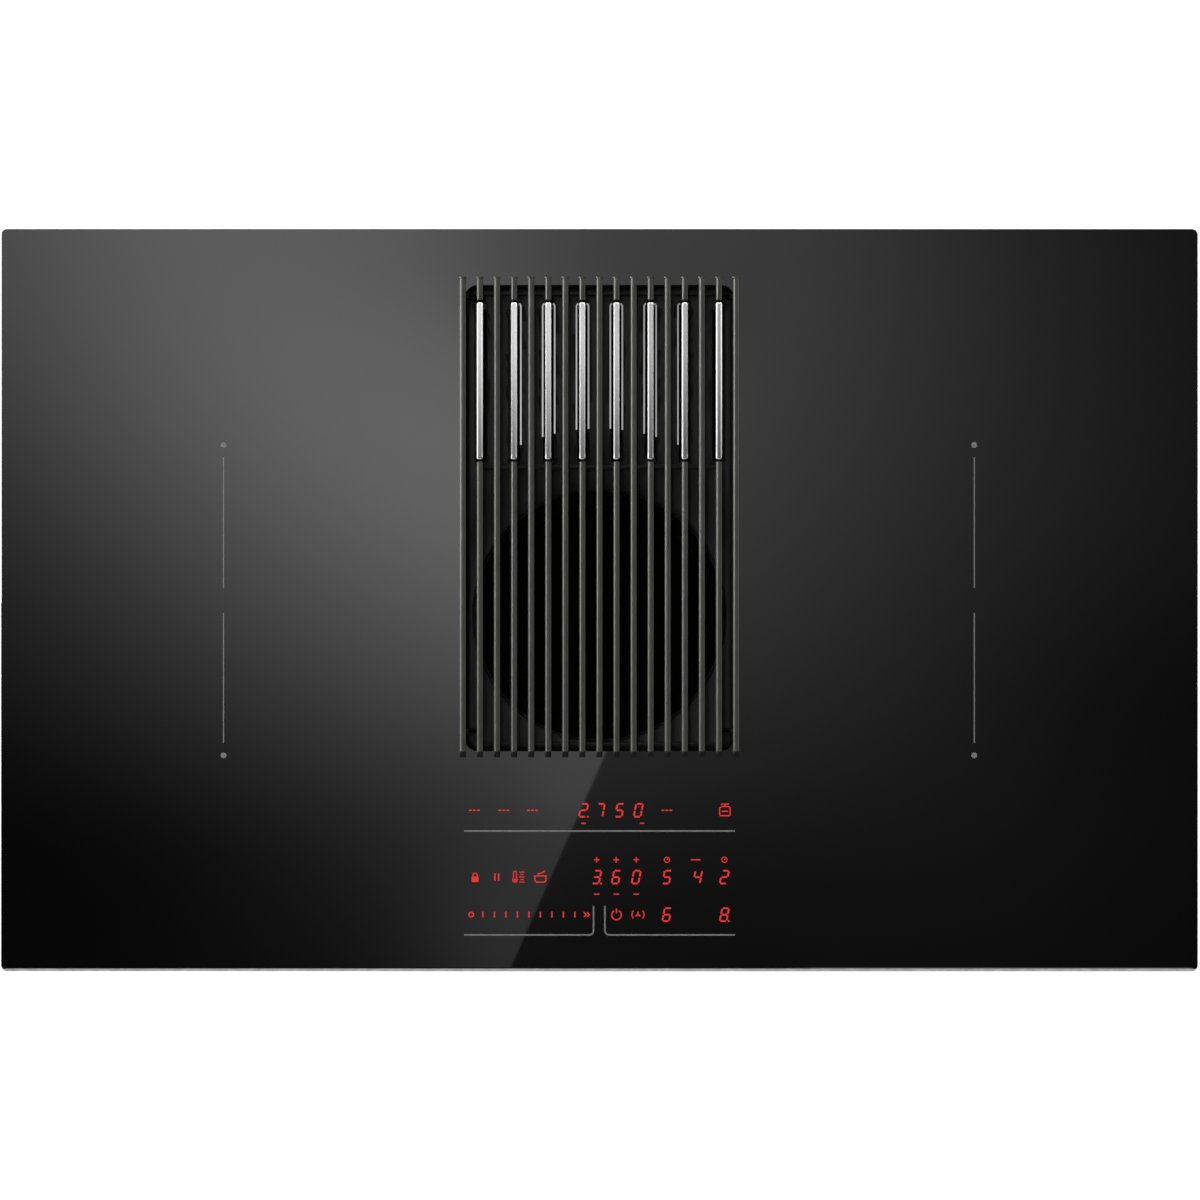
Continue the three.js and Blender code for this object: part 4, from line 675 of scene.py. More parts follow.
def add_trim(shape, x, side, rear):
    """A strip from the circle to the rear, bent in at its rear end."""
    path = [(x, TRIM_CENTRE_Y + math.sqrt(TRIM_RADIUS**2 - x**2)), (x, rear - TRIM_BEND)]
    for k in range(1, 6):
        turn = math.radians(TRIM_TURN * k / 5)
        path.append((x - side * TRIM_BEND * (1 - math.cos(turn)), rear - TRIM_BEND * (1 - math.sin(turn))))
    root = WELL_FLOOR + LIP_HEIGHT - TRIM_ROOT
    top = WELL_FLOOR + LIP_HEIGHT + TRIM_RISE
    loops = []
    for right, left in zip(offset_path(path, TRIM_WIDTH / 2), offset_path(path, -TRIM_WIDTH / 2)):
        right, left = Vector(right), Vector(left)
        inner, outer = right.lerp(left, TRIM_ROUND), left.lerp(right, TRIM_ROUND)
        loops.append([(*right, root), (*right, top - TRIM_EDGE), (*inner, top),
                      (*outer, top), (*left, top - TRIM_EDGE), (*left, root)])
    shape.loft(loops)


def make_slot_trims():
    """Bright strips on the lips of the inner slots."""
    shape = Shape()
    for index, sides in TRIM_SIDES.items():
        low, high = BLADES[index]
        reach = (high.x - low.x) / 2 + SLOT_CLEARANCE + LIP_WIDTH / 2
        rear = high.y + SLOT_END_CLEARANCE - TRIM_END_GAP
        for side in sides:
            add_trim(shape, (low.x + high.x) / 2 + side * reach, side, rear)
    shape.make("slot_trims", TRIM_STEEL, "cooktop", slot="bright_steel", angle=30)


# ---------------- grille
BAR_EDGE = 0.1 * MM
NOSE_DROP = 0.02 * MM
NOSE_BLEND = 0.2 * MM
# The ends of a bar's head, as (inset, distance from the end).
BAR_START_STEPS = ((0.35 * MM, 0.0), (0.1 * MM, 0.1 * MM), (0.0, 0.35 * MM))
BAR_STOP_STEPS = ((0.0, 0.35 * MM), (0.3 * MM, 0.0))
BAR_CAP_STEPS = (
    (0.0, BAR_CAP + 0.9 * MM), (0.25 * MM, BAR_CAP + 0.5 * MM), (0.25 * MM, BAR_CAP + 0.2 * MM),
    (-BAR_CAP_LEDGE, BAR_CAP), (-BAR_CAP_LEDGE, 0.3 * MM), (0.1 * MM, 0.0),
)
FIN_EDGE = 0.6 * MM
FIN_END = 0.4 * MM
FIN_ROOT = 0.4 * MM  # into the head
FIN_END_SCALE = 0.86
RAIL_LIFT = 1 * MM
ARM_OVERLAP = 1 * MM
RAIL_GAP = 2.6 * MM  # to the recess wall
RAIL_EDGE = 0.5 * MM
ARM_DROP = 2.6 * MM  # below the bars' tops
ARM_HEIGHT = 0.8 * MM
ARM_EDGE = 0.2 * MM


def bar_x(index):
    first = GRILLE_LOW.x + BAR_WIDTH / 2
    last = GRILLE_HIGH.x - BAR_WIDTH / 2
    return first + (last - first) * index / (BAR_COUNT - 1)


def tab_section(x, cap, inset=0.0):
    """A bar's head as (x, z) points, cut off at height cap."""
    half = BAR_WIDTH / 2 - inset
    low = BAR_TOP - BAR_TAB + inset
    top = BAR_TOP - inset
    points = [
        (x - half, low), (x + half, low), (x + half, top - BAR_CHAMFER),
        (x + half - BAR_CHAMFER, top), (x - half + BAR_CHAMFER, top), (x - half, top - BAR_CHAMFER),
    ]
    return [(px, min(pz, cap)) for px, pz in softened(points, BAR_EDGE, 1)]


def add_bar(shape, x, y0, y1, nose):
    """A bar's head from front to rear: its front end slopes, in painted shade, and its other ends are
    rounded.
    """
    if nose:
        fall = BAR_TAB - BAR_CHAMFER / 2
        loops = []
        for share in (0.0, 0.5, 1.0):
            cap = BAR_TOP - fall * (1 - share) - NOSE_DROP
            loops.append(along_y(tab_section(x, cap), y0 + BAR_NOSE * share))
        loops.append(along_y(tab_section(x, BAR_TOP), y0 + BAR_NOSE + NOSE_BLEND))
    else:
        loops = [along_y(tab_section(x, BAR_TOP, inset), y0 + depth) for inset, depth in BAR_START_STEPS]
    steps = BAR_CAP_STEPS if y1 == GRILLE_HIGH.y else BAR_STOP_STEPS
    loops += [along_y(tab_section(x, BAR_TOP, inset), y1 - depth) for inset, depth in steps]
    # The nose's three spans take the painted-shade iron, so the front slope reads dark
    shape.loft(loops, tags=[1, 1, 1] + [0] * len(loops) if nose else None)


def add_fin(shape, x, y0, y1):
    """The blade of a bar that hangs into the recess, thinner at its foot."""
    top, foot = FIN_TOP_WIDTH / 2, FIN_FOOT_WIDTH / 2
    low, high = GRILLE_LOW.z, BAR_TOP - BAR_TAB + FIN_ROOT
    section = softened([(x - foot, low), (x + foot, low), (x + top, high), (x - top, high)], FIN_EDGE, 2)
    middle = (low + high) / 2
    loops = []
    for y, scale in ((y0, FIN_END_SCALE), (y0 + FIN_END, 1.0), (y1 - FIN_END, 1.0), (y1, FIN_END_SCALE)):
        rise = 0.5 + scale / 2
        loops.append([(x + (px - x) * scale, y, middle + (pz - middle) * rise) for px, pz in section])
    # The fin is painted in shade with the near-black iron
    shape.loft(loops, tag=1)


def make_grille():
    """Seventeen bars, every second one interrupted by a blade, on three cross rails and four side arms."""
    shape = Shape()
    front, rear = GRILLE_LOW.y, GRILLE_HIGH.y
    fin_front, fin_rear = WELL_FRONT + FIN_WALL_CLEARANCE, WELL_REAR - FIN_WALL_CLEARANCE
    blade_front, blade_rear = BLADES[0][0].y, BLADES[0][1].y
    for i in range(BAR_COUNT):
        x = bar_x(i)
        runs = [(front, rear, True)]
        if i % 2:
            runs = [(front, blade_front - BLADE_END_GAP, True), (blade_rear + BLADE_END_GAP, rear, False)]
        for y0, y1, nose in runs:
            add_bar(shape, x, y0, y1, nose)
            if abs(x) + BAR_WIDTH / 2 < WELL_WIDTH / 2:
                add_fin(shape, x, max(y0, fin_front), min(y1, fin_rear))
    reach = bar_x(BAR_COUNT - 2) + FIN_FOOT_WIDTH / 2
    low = GRILLE_LOW.z + RAIL_LIFT
    front_rail = WELL_FRONT + RAIL_GAP
    middle_rail = blade_front - 2 * BLADE_END_GAP - RAIL_WIDTH
    for y in (WELL_REAR - RAIL_GAP - RAIL_WIDTH, middle_rail, front_rail):
        # The rails take the darker painted-shade rail iron
        shape.block((-reach, y, low), (reach, y + RAIL_WIDTH, low + RAIL_HEIGHT), RAIL_EDGE, tag=2)
    arm_top = BAR_TOP - ARM_DROP
    last_bar = bar_x(BAR_COUNT - 1)
    wall = WELL_WIDTH / 2 - 2 * FIN_WALL_CLEARANCE
    for y in (blade_rear + 2 * BLADE_END_GAP, front_rail + WELL_CORNER):
        for side in (-1, 1):
            for end, base, edge in ((wall, low, RAIL_EDGE), (last_bar, arm_top - ARM_HEIGHT, ARM_EDGE)):
                a, b = sorted((side * (reach - ARM_OVERLAP), side * end))
                # The side arms take the near-black painted-shade iron
                shape.block((a, y, base), (b, y + RAIL_WIDTH, arm_top), edge, tag=1)
    # Bar heads take the cast iron; noses, fins and arms the painted-shade copy; rails the darker
    # painted-shade rail copy
    materials = [LOOKS["cast_iron"], CAST_SHADE, CAST_RAIL_SHADE]
    shape.make("cast_grille", materials, "grille", "grille", "cast_iron", angle=25)


# ---------------- weighing blades
BLADE_CHAMFER = 0.95 * MM
BLADE_FRONT_CHAMFER = 1.2 * MM  # at the front end, where it catches the light
BLADE_CHAMFER_DROP = 0.90 * MM
BLADE_CHAMFER_ROUND = 0.05 * MM
BLADE_CORNER = 1.2 * MM
BLADE_FOOT_EDGE = 0.3 * MM
BLADE_CROWN = 1.4  # degrees, at each end
BLADE_FALL = 3.2  # degrees, to the front


def blade_steel(low, high):
    """Brushed steel whose top is ground with a slight fall to the front and a crown."""
    kit = Nodes(brushed("blade_steel", (0.62, 0.62, 0.62), 0.16, "y", 0.012))
    crown = math.tan(math.radians(BLADE_CROWN)) / ((high - low) / 2)
    along = kit.math("SUBTRACT", kit.parts()["Y"], (low + high) / 2)
    height = kit.math("MULTIPLY", kit.math("MULTIPLY", along, along), -crown / 2)
    fall = kit.math("MULTIPLY", along, math.tan(math.radians(BLADE_FALL)))
    kit.bump(kit.math("ADD", height, fall), 1.0, 1.0)
    return kit.owner


def make_blades():
    """Upright steel blades whose tops are flat between ground edges."""
    steel = blade_steel(BLADES[0][0].y, BLADES[0][1].y)
    small = BLADE_CHAMFER_ROUND
    for i, (low, high) in enumerate(BLADES):
        ground = high.z - BLADE_CHAMFER_DROP
        steps = [
            (BLADE_FOOT_EDGE, BLADE_FOOT_EDGE, low.z), (0.0, 0.0, low.z + BLADE_FOOT_EDGE),
            (0.0, 0.0, ground - 2 * small), (small, small, ground),
            (BLADE_CHAMFER - small, BLADE_FRONT_CHAMFER - small, high.z - small),
            (BLADE_CHAMFER + small, BLADE_FRONT_CHAMFER + small, high.z),
        ]
        loops = []
        for inset, front_inset, z in steps:
            centre = ((low.x + high.x) / 2, (low.y + high.y + front_inset - inset) / 2)
            width, depth = high.x - low.x - 2 * inset, high.y - low.y - inset - front_inset
            corner = max(BLADE_CORNER - inset, 0.2 * MM)
            loops.append(level(rounded_rect(width, depth, corner, centre, 6), z))
        shape = Shape().loft(loops)
        name = f"weighing_blade_{i + 1}"
        shape.make(name, steel, "scale", f"scale_blade_{i + 1}", "bright_steel", angle=15)


# ---------------- printed and lit marks on the glass
MARK_LOW = GLASS_TOP - 0.02 * MM
MARK_HIGH = GLASS_TOP + 0.02 * MM

# Their places, in the photograph's pixels.
ZONE_COLUMNS = (223.5, 974.3)
ZONE_DOT_ROWS = (445.0, 755.3)
ZONE_LINE_SPANS = ((457.0, 588.0), (613.0, 743.0))
PANEL_LEFT = 464.0
PANEL_RIGHT = 735.0
PANEL_REAR_LINE = 831.0
PANEL_FRONT_LINE = 934.9
BRACKET_REAR = 905.9
BRACKET_SIDES = (593.5, 604.9)
BRACKET_CORNER = 4.0
WEIGHT_ROW = 810.3
PLUS_ROW = 859.8
POWER_ROW = 877.1
MINUS_ROW = 894.1
AIR_ROW = 914.6
UNIT_ROW = 823.3
WEIGHT_COLUMNS = (583.6, 600.2, 619.6, 638.4)
UNIT_COLUMNS = (583.5, 642.0)
TIMER_COLUMNS = (596.7, 616.2, 636.2)
LEVEL_COLUMNS = (666.9, 697.6, 724.4)
WORD_COLUMNS = (474.3, 503.7, 532.4, 666.9)
LOCK_KEY = 475.1
PAUSE_KEY = 496.8
HEAT_KEY = 518.2
POT_KEY = 540.4
SLIDER_ZERO = 471.2
SLIDER_FIRST = 482.9
SLIDER_PITCH = 11.5
SLIDER_TICKS = 9
SLIDER_BOOST = 586.6
POWER_KEY = 616.5
AUTO_KEY = 638.0
SCALE_KEY = 724.9

# Their sizes, in the same pixels.
PRINT_LINE = 1.5
ZONE_LINE = 1.1
ZONE_DOT = 2.9
DIGIT_WIDTH = 8.4
DIGIT_HEIGHT = 12.8
DIGIT_SLANT = 0.20
SEGMENT_WIDTH = 1.65
SEGMENT_GAP = 0.10  # of a segment's length, at each end
POINT_RADIUS = 0.95
ICON_LINE = 1.1
TICK_HEIGHT = 5.8


class Marks(Shape):
    """Thin flat marks, placed by the photograph's pixels; local points are counted from a centre."""

    def spot(self, px, py, radius, sides=24):
        self.prism(circle(pixels(radius), at_pixel(px, py), sides), MARK_LOW, MARK_HIGH)

    def ring(self, px, py, radius, width, start=0.0, end=360.0):
        """A ring, or an arc from start to end in degrees, anticlockwise from the right."""
        cx, cy = at_pixel(px, py)
        steps = 24
        full = end - start >= 360
        inner, outer = pixels(radius - width / 2), pixels(radius + width / 2)
        loops = []
        for k in range(steps if full else steps + 1):
            turn = math.radians(start + (end - start) * k / steps)
            near, far = ((cx + r * math.cos(turn), cy + r * math.sin(turn)) for r in (inner, outer))
            loops.append([(*near, MARK_LOW), (*far, MARK_LOW), (*far, MARK_HIGH), (*near, MARK_HIGH)])
        self.loft(loops, closed=full)

    def stroke(self, px, py, points, width=ICON_LINE):
        """A line of even width through points about a centre."""
        path = [at_pixel(px + u, py + v) for u, v in points]
        half = pixels(width) / 2
        right, left = offset_path(path, half), offset_path(path, -half)
        self.loft([
            [(*r, MARK_LOW), (*r, MARK_HIGH), (*l, MARK_HIGH), (*l, MARK_LOW)] for r, l in zip(right, left)
        ])

    def dash(self, px, py, width, height=ICON_LINE):
        self.stroke(px, py, [(-width / 2, 0), (width / 2, 0)], height)

    def tick(self, px, py, height, width=ICON_LINE):
        self.stroke(px, py, [(0, -height / 2), (0, height / 2)], width)


SEGMENTS = {
    "0": "abcdef", "2": "abged", "3": "abgcd", "4": "fgbc", "5": "afgcd", "6": "afgcde", "7": "abc",
    "8": "abcdefg",
}
SEGMENT_ENDS = {
    "a": ((-1, -1), (1, -1)), "b": ((1, -1), (1, 0)), "c": ((1, 0), (1, 1)), "d": ((-1, 1), (1, 1)),
    "e": ((-1, 0), (-1, 1)), "f": ((-1, -1), (-1, 0)), "g": ((-1, 0), (1, 0)),
}


def add_digit(marks, digit, px, py, point=False):
    """A slanted seven-segment digit about a pixel."""
    half_w = (DIGIT_WIDTH - SEGMENT_WIDTH) / 2
    half_h = DIGIT_HEIGHT / 2
    for name in SEGMENTS[digit]:
        first, last = SEGMENT_ENDS[name]
        line = []
        for share in (SEGMENT_GAP, 1 - SEGMENT_GAP):
            u = first[0] + (last[0] - first[0]) * share
            v = first[1] + (last[1] - first[1]) * share
            line.append((u * half_w - v * half_h * DIGIT_SLANT, v * half_h))
        marks.stroke(px, py, line, SEGMENT_WIDTH)
    if point:
        marks.spot(px + half_w + POINT_RADIUS, py + half_h, POINT_RADIUS, 12)


def make_zone_marks():
    marks = Marks()
    for px in ZONE_COLUMNS:
        for py in ZONE_DOT_ROWS:
            marks.spot(px, py, ZONE_DOT)
        for rear, front in ZONE_LINE_SPANS:
            marks.tick(px, (rear + front) / 2, front - rear, ZONE_LINE)
    marks.make("zone_marks", GREY_PRINT, "cooktop")


def make_panel_lines():
    marks = Marks()
    middle = (PANEL_LEFT + PANEL_RIGHT) / 2
    marks.dash(middle, PANEL_REAR_LINE, PANEL_RIGHT - PANEL_LEFT, PRINT_LINE)
    corner = [math.radians(30 * k) for k in range(4)]
    for end, inner, side in zip((PANEL_LEFT, PANEL_RIGHT), BRACKET_SIDES, (1, -1)):
        path = [(end, PANEL_FRONT_LINE)]
        for turn in corner:
            across = inner - side * BRACKET_CORNER * (1 - math.sin(turn))
            path.append((across, PANEL_FRONT_LINE - BRACKET_CORNER * (1 - math.cos(turn))))
        path.append((inner, BRACKET_REAR))
        marks.stroke(0, 0, path, PRINT_LINE)
    marks.make("panel_lines", GREY_PRINT, "cooktop")


def add_numbers(marks):
    """Made-up readings."""
    for digit, px in zip("2750", WEIGHT_COLUMNS):
        add_digit(marks, digit, px, WEIGHT_ROW, point=digit == "2")
    for digit, px in zip("360", TIMER_COLUMNS):
        add_digit(marks, digit, px, POWER_ROW, point=digit == "3")
    for digit, px in zip("542", LEVEL_COLUMNS):
        add_digit(marks, digit, px, POWER_ROW)
    add_digit(marks, "6", LEVEL_COLUMNS[0], AIR_ROW)
    add_digit(marks, "8", LEVEL_COLUMNS[2], AIR_ROW, point=True)


def add_small_keys(marks):
    for px in TIMER_COLUMNS:
        marks.dash(px, PLUS_ROW, 5.4)
        marks.tick(px, PLUS_ROW, 5.4)
        marks.dash(px, MINUS_ROW, 5.4)
    for px in (LEVEL_COLUMNS[0], LEVEL_COLUMNS[2]):
        marks.ring(px, PLUS_ROW, 2.6, 0.9)
        marks.stroke(px, PLUS_ROW, [(0, 0), (1.4, -1.3)], 0.8)
    marks.dash(LEVEL_COLUMNS[1] - 2, PLUS_ROW, 9.6)
    for px in WORD_COLUMNS:
        for k in (-1, 0, 1):
            marks.dash(px + 4 * k, WEIGHT_ROW, 2.8, 1.2)
    for px in UNIT_COLUMNS:
        marks.dash(px, UNIT_ROW, 4.4, 1.2)
    marks.ring(SLIDER_ZERO, AIR_ROW, 2.3, 1.2)
    for k in range(SLIDER_TICKS):
        marks.tick(SLIDER_FIRST + SLIDER_PITCH * k, AIR_ROW, TICK_HEIGHT, 1.3)
    for shift in (-1.6, 1.6):
        marks.stroke(SLIDER_BOOST + shift, AIR_ROW, [(-1.2, 2.6), (1.2, 0), (-1.2, -2.6)])


def add_icons(marks):
    body = rounded_rect(pixels(7.0), pixels(5.4), pixels(0.8), at_pixel(LOCK_KEY, POWER_ROW + 2.2), 3)
    marks.prism(body, MARK_LOW, MARK_HIGH)
    marks.ring(LOCK_KEY, POWER_ROW - 1.6, 2.3, ICON_LINE, 0, 180)
    for side in (-1, 1):
        marks.tick(LOCK_KEY + 2.3 * side, POWER_ROW - 0.9, 1.6)
        marks.tick(PAUSE_KEY + 1.9 * side, POWER_ROW, 7.4, 1.3)
    bulb = HEAT_KEY - 3.2
    marks.ring(bulb, POWER_ROW + 2.9, 2.2, ICON_LINE, -235, 55)
    marks.spot(bulb, POWER_ROW + 2.9, 1.2, 12)
    for side in (-1, 1):
        marks.tick(bulb + 1.5 * side, POWER_ROW - 1.6, 5.8, 0.9)
    marks.ring(bulb, POWER_ROW - 4.5, 1.5, 0.9, 0, 180)
    for k in range(5):
        marks.dash(HEAT_KEY + 3.6, POWER_ROW - 5.0 + 2.5 * k, 5.0 if k % 2 == 0 else 3.4, 0.9)
    pot = [(-5.4, -0.6), (-5.4, 3.4), (-4.2, 5.0), (4.2, 5.0), (5.4, 3.4), (5.4, -0.6)]
    marks.stroke(POT_KEY, POWER_ROW, pot)
    marks.dash(POT_KEY, POWER_ROW - 1.2, 13.0)
    marks.stroke(POT_KEY, POWER_ROW, [(-3.0, -3.0), (1.5, -4.2), (4.6, -6.4)])
    marks.ring(POWER_KEY, AIR_ROW + 0.3, 4.8, 1.2, -240, 60)
    marks.tick(POWER_KEY, AIR_ROW - 3.6, 5.0, 1.2)
    for k in range(3):
        turn = math.radians(90 + 120 * k)
        marks.stroke(AUTO_KEY, AIR_ROW, [(0, 0), (2.9 * math.cos(turn), -2.9 * math.sin(turn))], 1.4)
    for middle in (0, 180):
        marks.ring(AUTO_KEY, AIR_ROW, 6.0, ICON_LINE, middle - 40, middle + 40)
    pan = [(-5.2, -2.4), (-5.2, 4.6), (-4.2, 5.4), (4.2, 5.4)]
    pan += [(5.2, 4.6), (5.2, -2.4), (3.4, -3.8), (-3.4, -3.8)]
    marks.stroke(SCALE_KEY, WEIGHT_ROW, [*pan, pan[0]])
    marks.dash(SCALE_KEY, WEIGHT_ROW - 6.2, 8.0)
    marks.tick(SCALE_KEY, WEIGHT_ROW - 5.0, 2.4)
    marks.dash(SCALE_KEY, WEIGHT_ROW + 1.0, 6.0, 1.3)


def make_display():
    marks = Marks()
    add_numbers(marks)
    add_small_keys(marks)
    add_icons(marks)
    marks.make("display_light", RED_LIGHT, "cooktop")


# ---------------- screws and their places
SHEET = 1.2 * MM
SCREW_HEAD = 3.0 * MM
SCREW_RISE = 1.9 * MM
SCREW_SIDES = 24
# A pan head on a washer as (share of the head's radius, share of its rise, six-sided).
SCREW_PROFILE = (
    (1.5, -0.05, False), (1.5, 0.2, False), (1.42, 0.27, False), (1.0, 0.27, False), (1.0, 0.62, False),
    (0.93, 0.82, False), (0.76, 0.96, False), (0.62, 1.0, False), (0.58, 1.0, True), (0.54, 0.94, True),
    (0.52, 0.5, True),
)
TRAY_SCREW_DROP = 9 * MM  # below the glass
TRAY_SIDE_ROWS = (-205 * MM, -75 * MM, 75 * MM, 205 * MM)
TRAY_END_PITCH = 115 * MM
TRAY_FLOOR_SCREWS = ((165 * MM, -222 * MM), (375 * MM, -222 * MM), (375 * MM, 222 * MM))
HANGER_SCREW_SHARE = 0.66  # of half its depth
HANGER_SCREW_INSETS = (7.6 * MM, 7.0 * MM)  # upper and lower
CRADLE_SCREW_INSET = 24 * MM
CRADLE_SHEET = 2 * MM
LID_RISE = 2.3 * MM  # above the housing's rim
HOUSING_SCREW_HEAD = 2.0 * MM
COLLAR_SCREW_SHARES = (0.13, 0.5, 0.87)
COLLAR_SCREW_INSET = 3.4 * MM
COLLAR_STEP = 2 * MM
CLAMP_ARM_SCREW = 8.5 * MM
CLAMP_WALL_SCREW = (2 * MM, 8 * MM)
CLAMP_SCREW_HEADS = (2.6 * MM, 2.4 * MM)
TERMINAL_SCREW_INSET = 8 * MM
TERMINAL_SCREW_HEAD = 2.2 * MM
TERMINAL_LID_DROP = 0.8 * MM

SCROLL_START_ANGLE = 112
SCROLL_START_RADIUS = 98 * MM
SCROLL_END_RADIUS = 138 * MM
BOSS_SHARES = (0.06, 0.24, 0.42, 0.60, 0.78, 0.96)  # of the scroll's turn
BOSS_MARGIN = 4.4 * MM  # housing's inside wall to a boss's middle
OUTLET_BOSS_INSET = 15 * MM
SPIGOT_HALF = 111 * MM


def hexagon(angle):
    """A hexagon's radius in a direction, as a share of its corner radius."""
    turn = math.radians(60)
    return math.cos(turn / 2) / math.cos(angle % turn - turn / 2)


def add_screw(shape, place, outward, head):
    """A screw on its washer: place is the middle of its seat, outward the way it faces."""
    axis = Vector(outward)
    first = axis.orthogonal().normalized()
    second = axis.cross(first)
    loops = []
    for radius, rise, six_sided in SCREW_PROFILE:
        loop = []
        for i in range(SCREW_SIDES):
            angle = 2 * math.pi * i / SCREW_SIDES
            reach = radius * head * (hexagon(angle) if six_sided else 1.0)
            side = first * math.cos(angle) + second * math.sin(angle)
            loop.append(Vector(place) + side * reach + axis * (rise * SCREW_RISE * head / SCREW_HEAD))
        loops.append(loop)
    shape.loft(loops)


def scroll_point(share, margin):
    angle = math.radians(SCROLL_START_ANGLE + (360 - SCROLL_START_ANGLE) * share)
    radius = SCROLL_START_RADIUS + (SCROLL_END_RADIUS - SCROLL_START_RADIUS) * share + margin
    return AXIS.x + radius * math.cos(angle), AXIS.y + radius * math.sin(angle)


def boss_places():
    places = [scroll_point(share, BOSS_MARGIN) for share in BOSS_SHARES]
    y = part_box("outlet_collar")[0].y - OUTLET_BOSS_INSET
    return places + [(side * (SPIGOT_HALF + BOSS_MARGIN), y) for side in (-1, 1)]


def tray_screws():
    z = GLASS_LOW.z - TRAY_SCREW_DROP
    for side, end in ((-1, TRAY_LOW), (1, TRAY_HIGH)):
        for y in TRAY_SIDE_ROWS:
            yield (end.x, y, z), (side, 0, 0), SCREW_HEAD
        for k in range(-3, 4):
            yield (k * TRAY_END_PITCH, end.y, z), (0, side, 0), SCREW_HEAD
        for x, y in TRAY_FLOOR_SCREWS:
            yield (side * x, y, TRAY_LOW.z), (0, 0, -1), SCREW_HEAD


def bracket_screws():
    upper, lower = HANGER_SCREW_INSETS
    for name, side in (("hanger_left", -1), ("hanger_right", 1)):
        low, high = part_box(name)
        outer, inner = (high.x, low.x) if side > 0 else (low.x, high.x)
        for row in (-1, 1):
            y = (low.y + high.y) / 2 + row * HANGER_SCREW_SHARE * (high.y - low.y) / 2
            yield (outer - side * upper, y, high.z - SHEET), (0, 0, -1), SCREW_HEAD
            yield (inner + side * lower, y, low.z + SHEET), (0, 0, 1), SCREW_HEAD
    low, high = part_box("cup_cradle")
    for x in (low.x + CRADLE_SCREW_INSET, high.x - CRADLE_SCREW_INSET):
        yield (x, (low.y + high.y) / 2, high.z - CRADLE_SHEET), (0, 0, -1), SCREW_HEAD


def housing_screws():
    for x, y in boss_places():
        yield (x, y, HOUSING_HIGH.z + LID_RISE), (0, 0, 1), HOUSING_SCREW_HEAD
    low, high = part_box("outlet_collar")
    for side in (-1, 1):
        x = side * (high.x - COLLAR_SCREW_INSET)
        for share in COLLAR_SCREW_SHARES:
            z = low.z + (high.z - low.z) * share
            yield (x, low.y + COLLAR_STEP, z), (0, 1, 0), HOUSING_SCREW_HEAD


def clamp_screws():
    for side_name, side in (("left", -1), ("right", 1)):
        for row in ("front", "rear"):
            low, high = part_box(f"worktop_clamp_{row}_{side_name}")
            wall, y = low.x if side > 0 else high.x, (low.y + high.y) / 2
            out, drop = CLAMP_WALL_SCREW
            yield (wall + side * CLAMP_ARM_SCREW, y, low.z), (0, 0, -1), CLAMP_SCREW_HEADS[0]
            yield (wall + side * out, y, high.z - drop), (side, 0, 0), CLAMP_SCREW_HEADS[1]


def terminal_screws():
    low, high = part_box("terminal_box")
    for x in (low.x + TERMINAL_SCREW_INSET, high.x - TERMINAL_SCREW_INSET):
        for y in (low.y + TERMINAL_SCREW_INSET, high.y - TERMINAL_SCREW_INSET):
            yield (x, y, low.z - TERMINAL_LID_DROP), (0, 0, -1), TERMINAL_SCREW_HEAD


def make_screws():
    shape = Shape()
    for screws in (tray_screws, bracket_screws, housing_screws, clamp_screws, terminal_screws):
        for place, outward, head in screws():
            add_screw(shape, place, outward, head)
    shape.make("screws", SCREW_STEEL, "cooktop", slot="galvanised_steel", angle=30)


# ---------------- blower housing
POCKET_PITCH = 23 * MM
POCKET_START = 14 * MM
POCKET_ROWS = 4
POCKET_SPOKES = 12
POCKET_RIB = 1.8 * MM
POCKET_DEPTH = 1.1 * MM
POCKET_EDGE = 0.3 * MM
BOSS_TIP = 0.8 * MM
BOSS_RADIUS = 3.0 * MM
BOSS_TAPER = 7.0 * MM
BOSS_LENGTH = 34 * MM
RIB_WIDTH = 1.8 * MM
RIB_REACH = (1.2 * MM, 5.4 * MM)
RIB_LIFT = 3 * MM
RIB_EDGE = 0.5 * MM
RIM_GAP = 0.1 * MM
WELD_DISTANCE = 0.01 * MM


def pocket_outline(inner, outer, spoke):
    """A pocket between two rings and two spokes."""
    outline = []
    for radius, order in ((outer, 1), (inner, -1)):
        half = math.pi / POCKET_SPOKES - POCKET_RIB / 2 / radius
        for step in range(-3, 4):
            angle = 2 * math.pi * (spoke + 0.5) / POCKET_SPOKES + order * half * step / 3
            outline.append((AXIS.x + radius * math.cos(angle), AXIS.y + radius * math.sin(angle)))
    return outline


def make_housing():
    """The blower housing with pockets moulded into its underside between rings and spokes."""
    source = frame["nodes"]["blower_base"].data
    mesh = bpy.data.meshes.new("blower_housing")
    mesh.from_pydata([v.co for v in source.vertices], [], [tuple(p.vertices) for p in source.polygons])
    mesh.materials.append(LOOKS["black_plastic"])
    housing = add_object("blower_housing", mesh)
    housing.modifiers.new("weld", "WELD").merge_threshold = WELD_DISTANCE
    cutter = Shape()
    for row in range(POCKET_ROWS):
        inner = POCKET_START + POCKET_PITCH * row + POCKET_RIB / 2
        for spoke in range(POCKET_SPOKES):
            outline = pocket_outline(inner, inner + POCKET_PITCH - POCKET_RIB, spoke)
            cutter.prism(outline, HOUSING_LOW.z - POCKET_DEPTH, HOUSING_LOW.z + POCKET_DEPTH, POCKET_EDGE)
    cut_away(housing, cutter)
    settle(housing, "cooktop", "blower_base", SMOOTH_ANGLE)


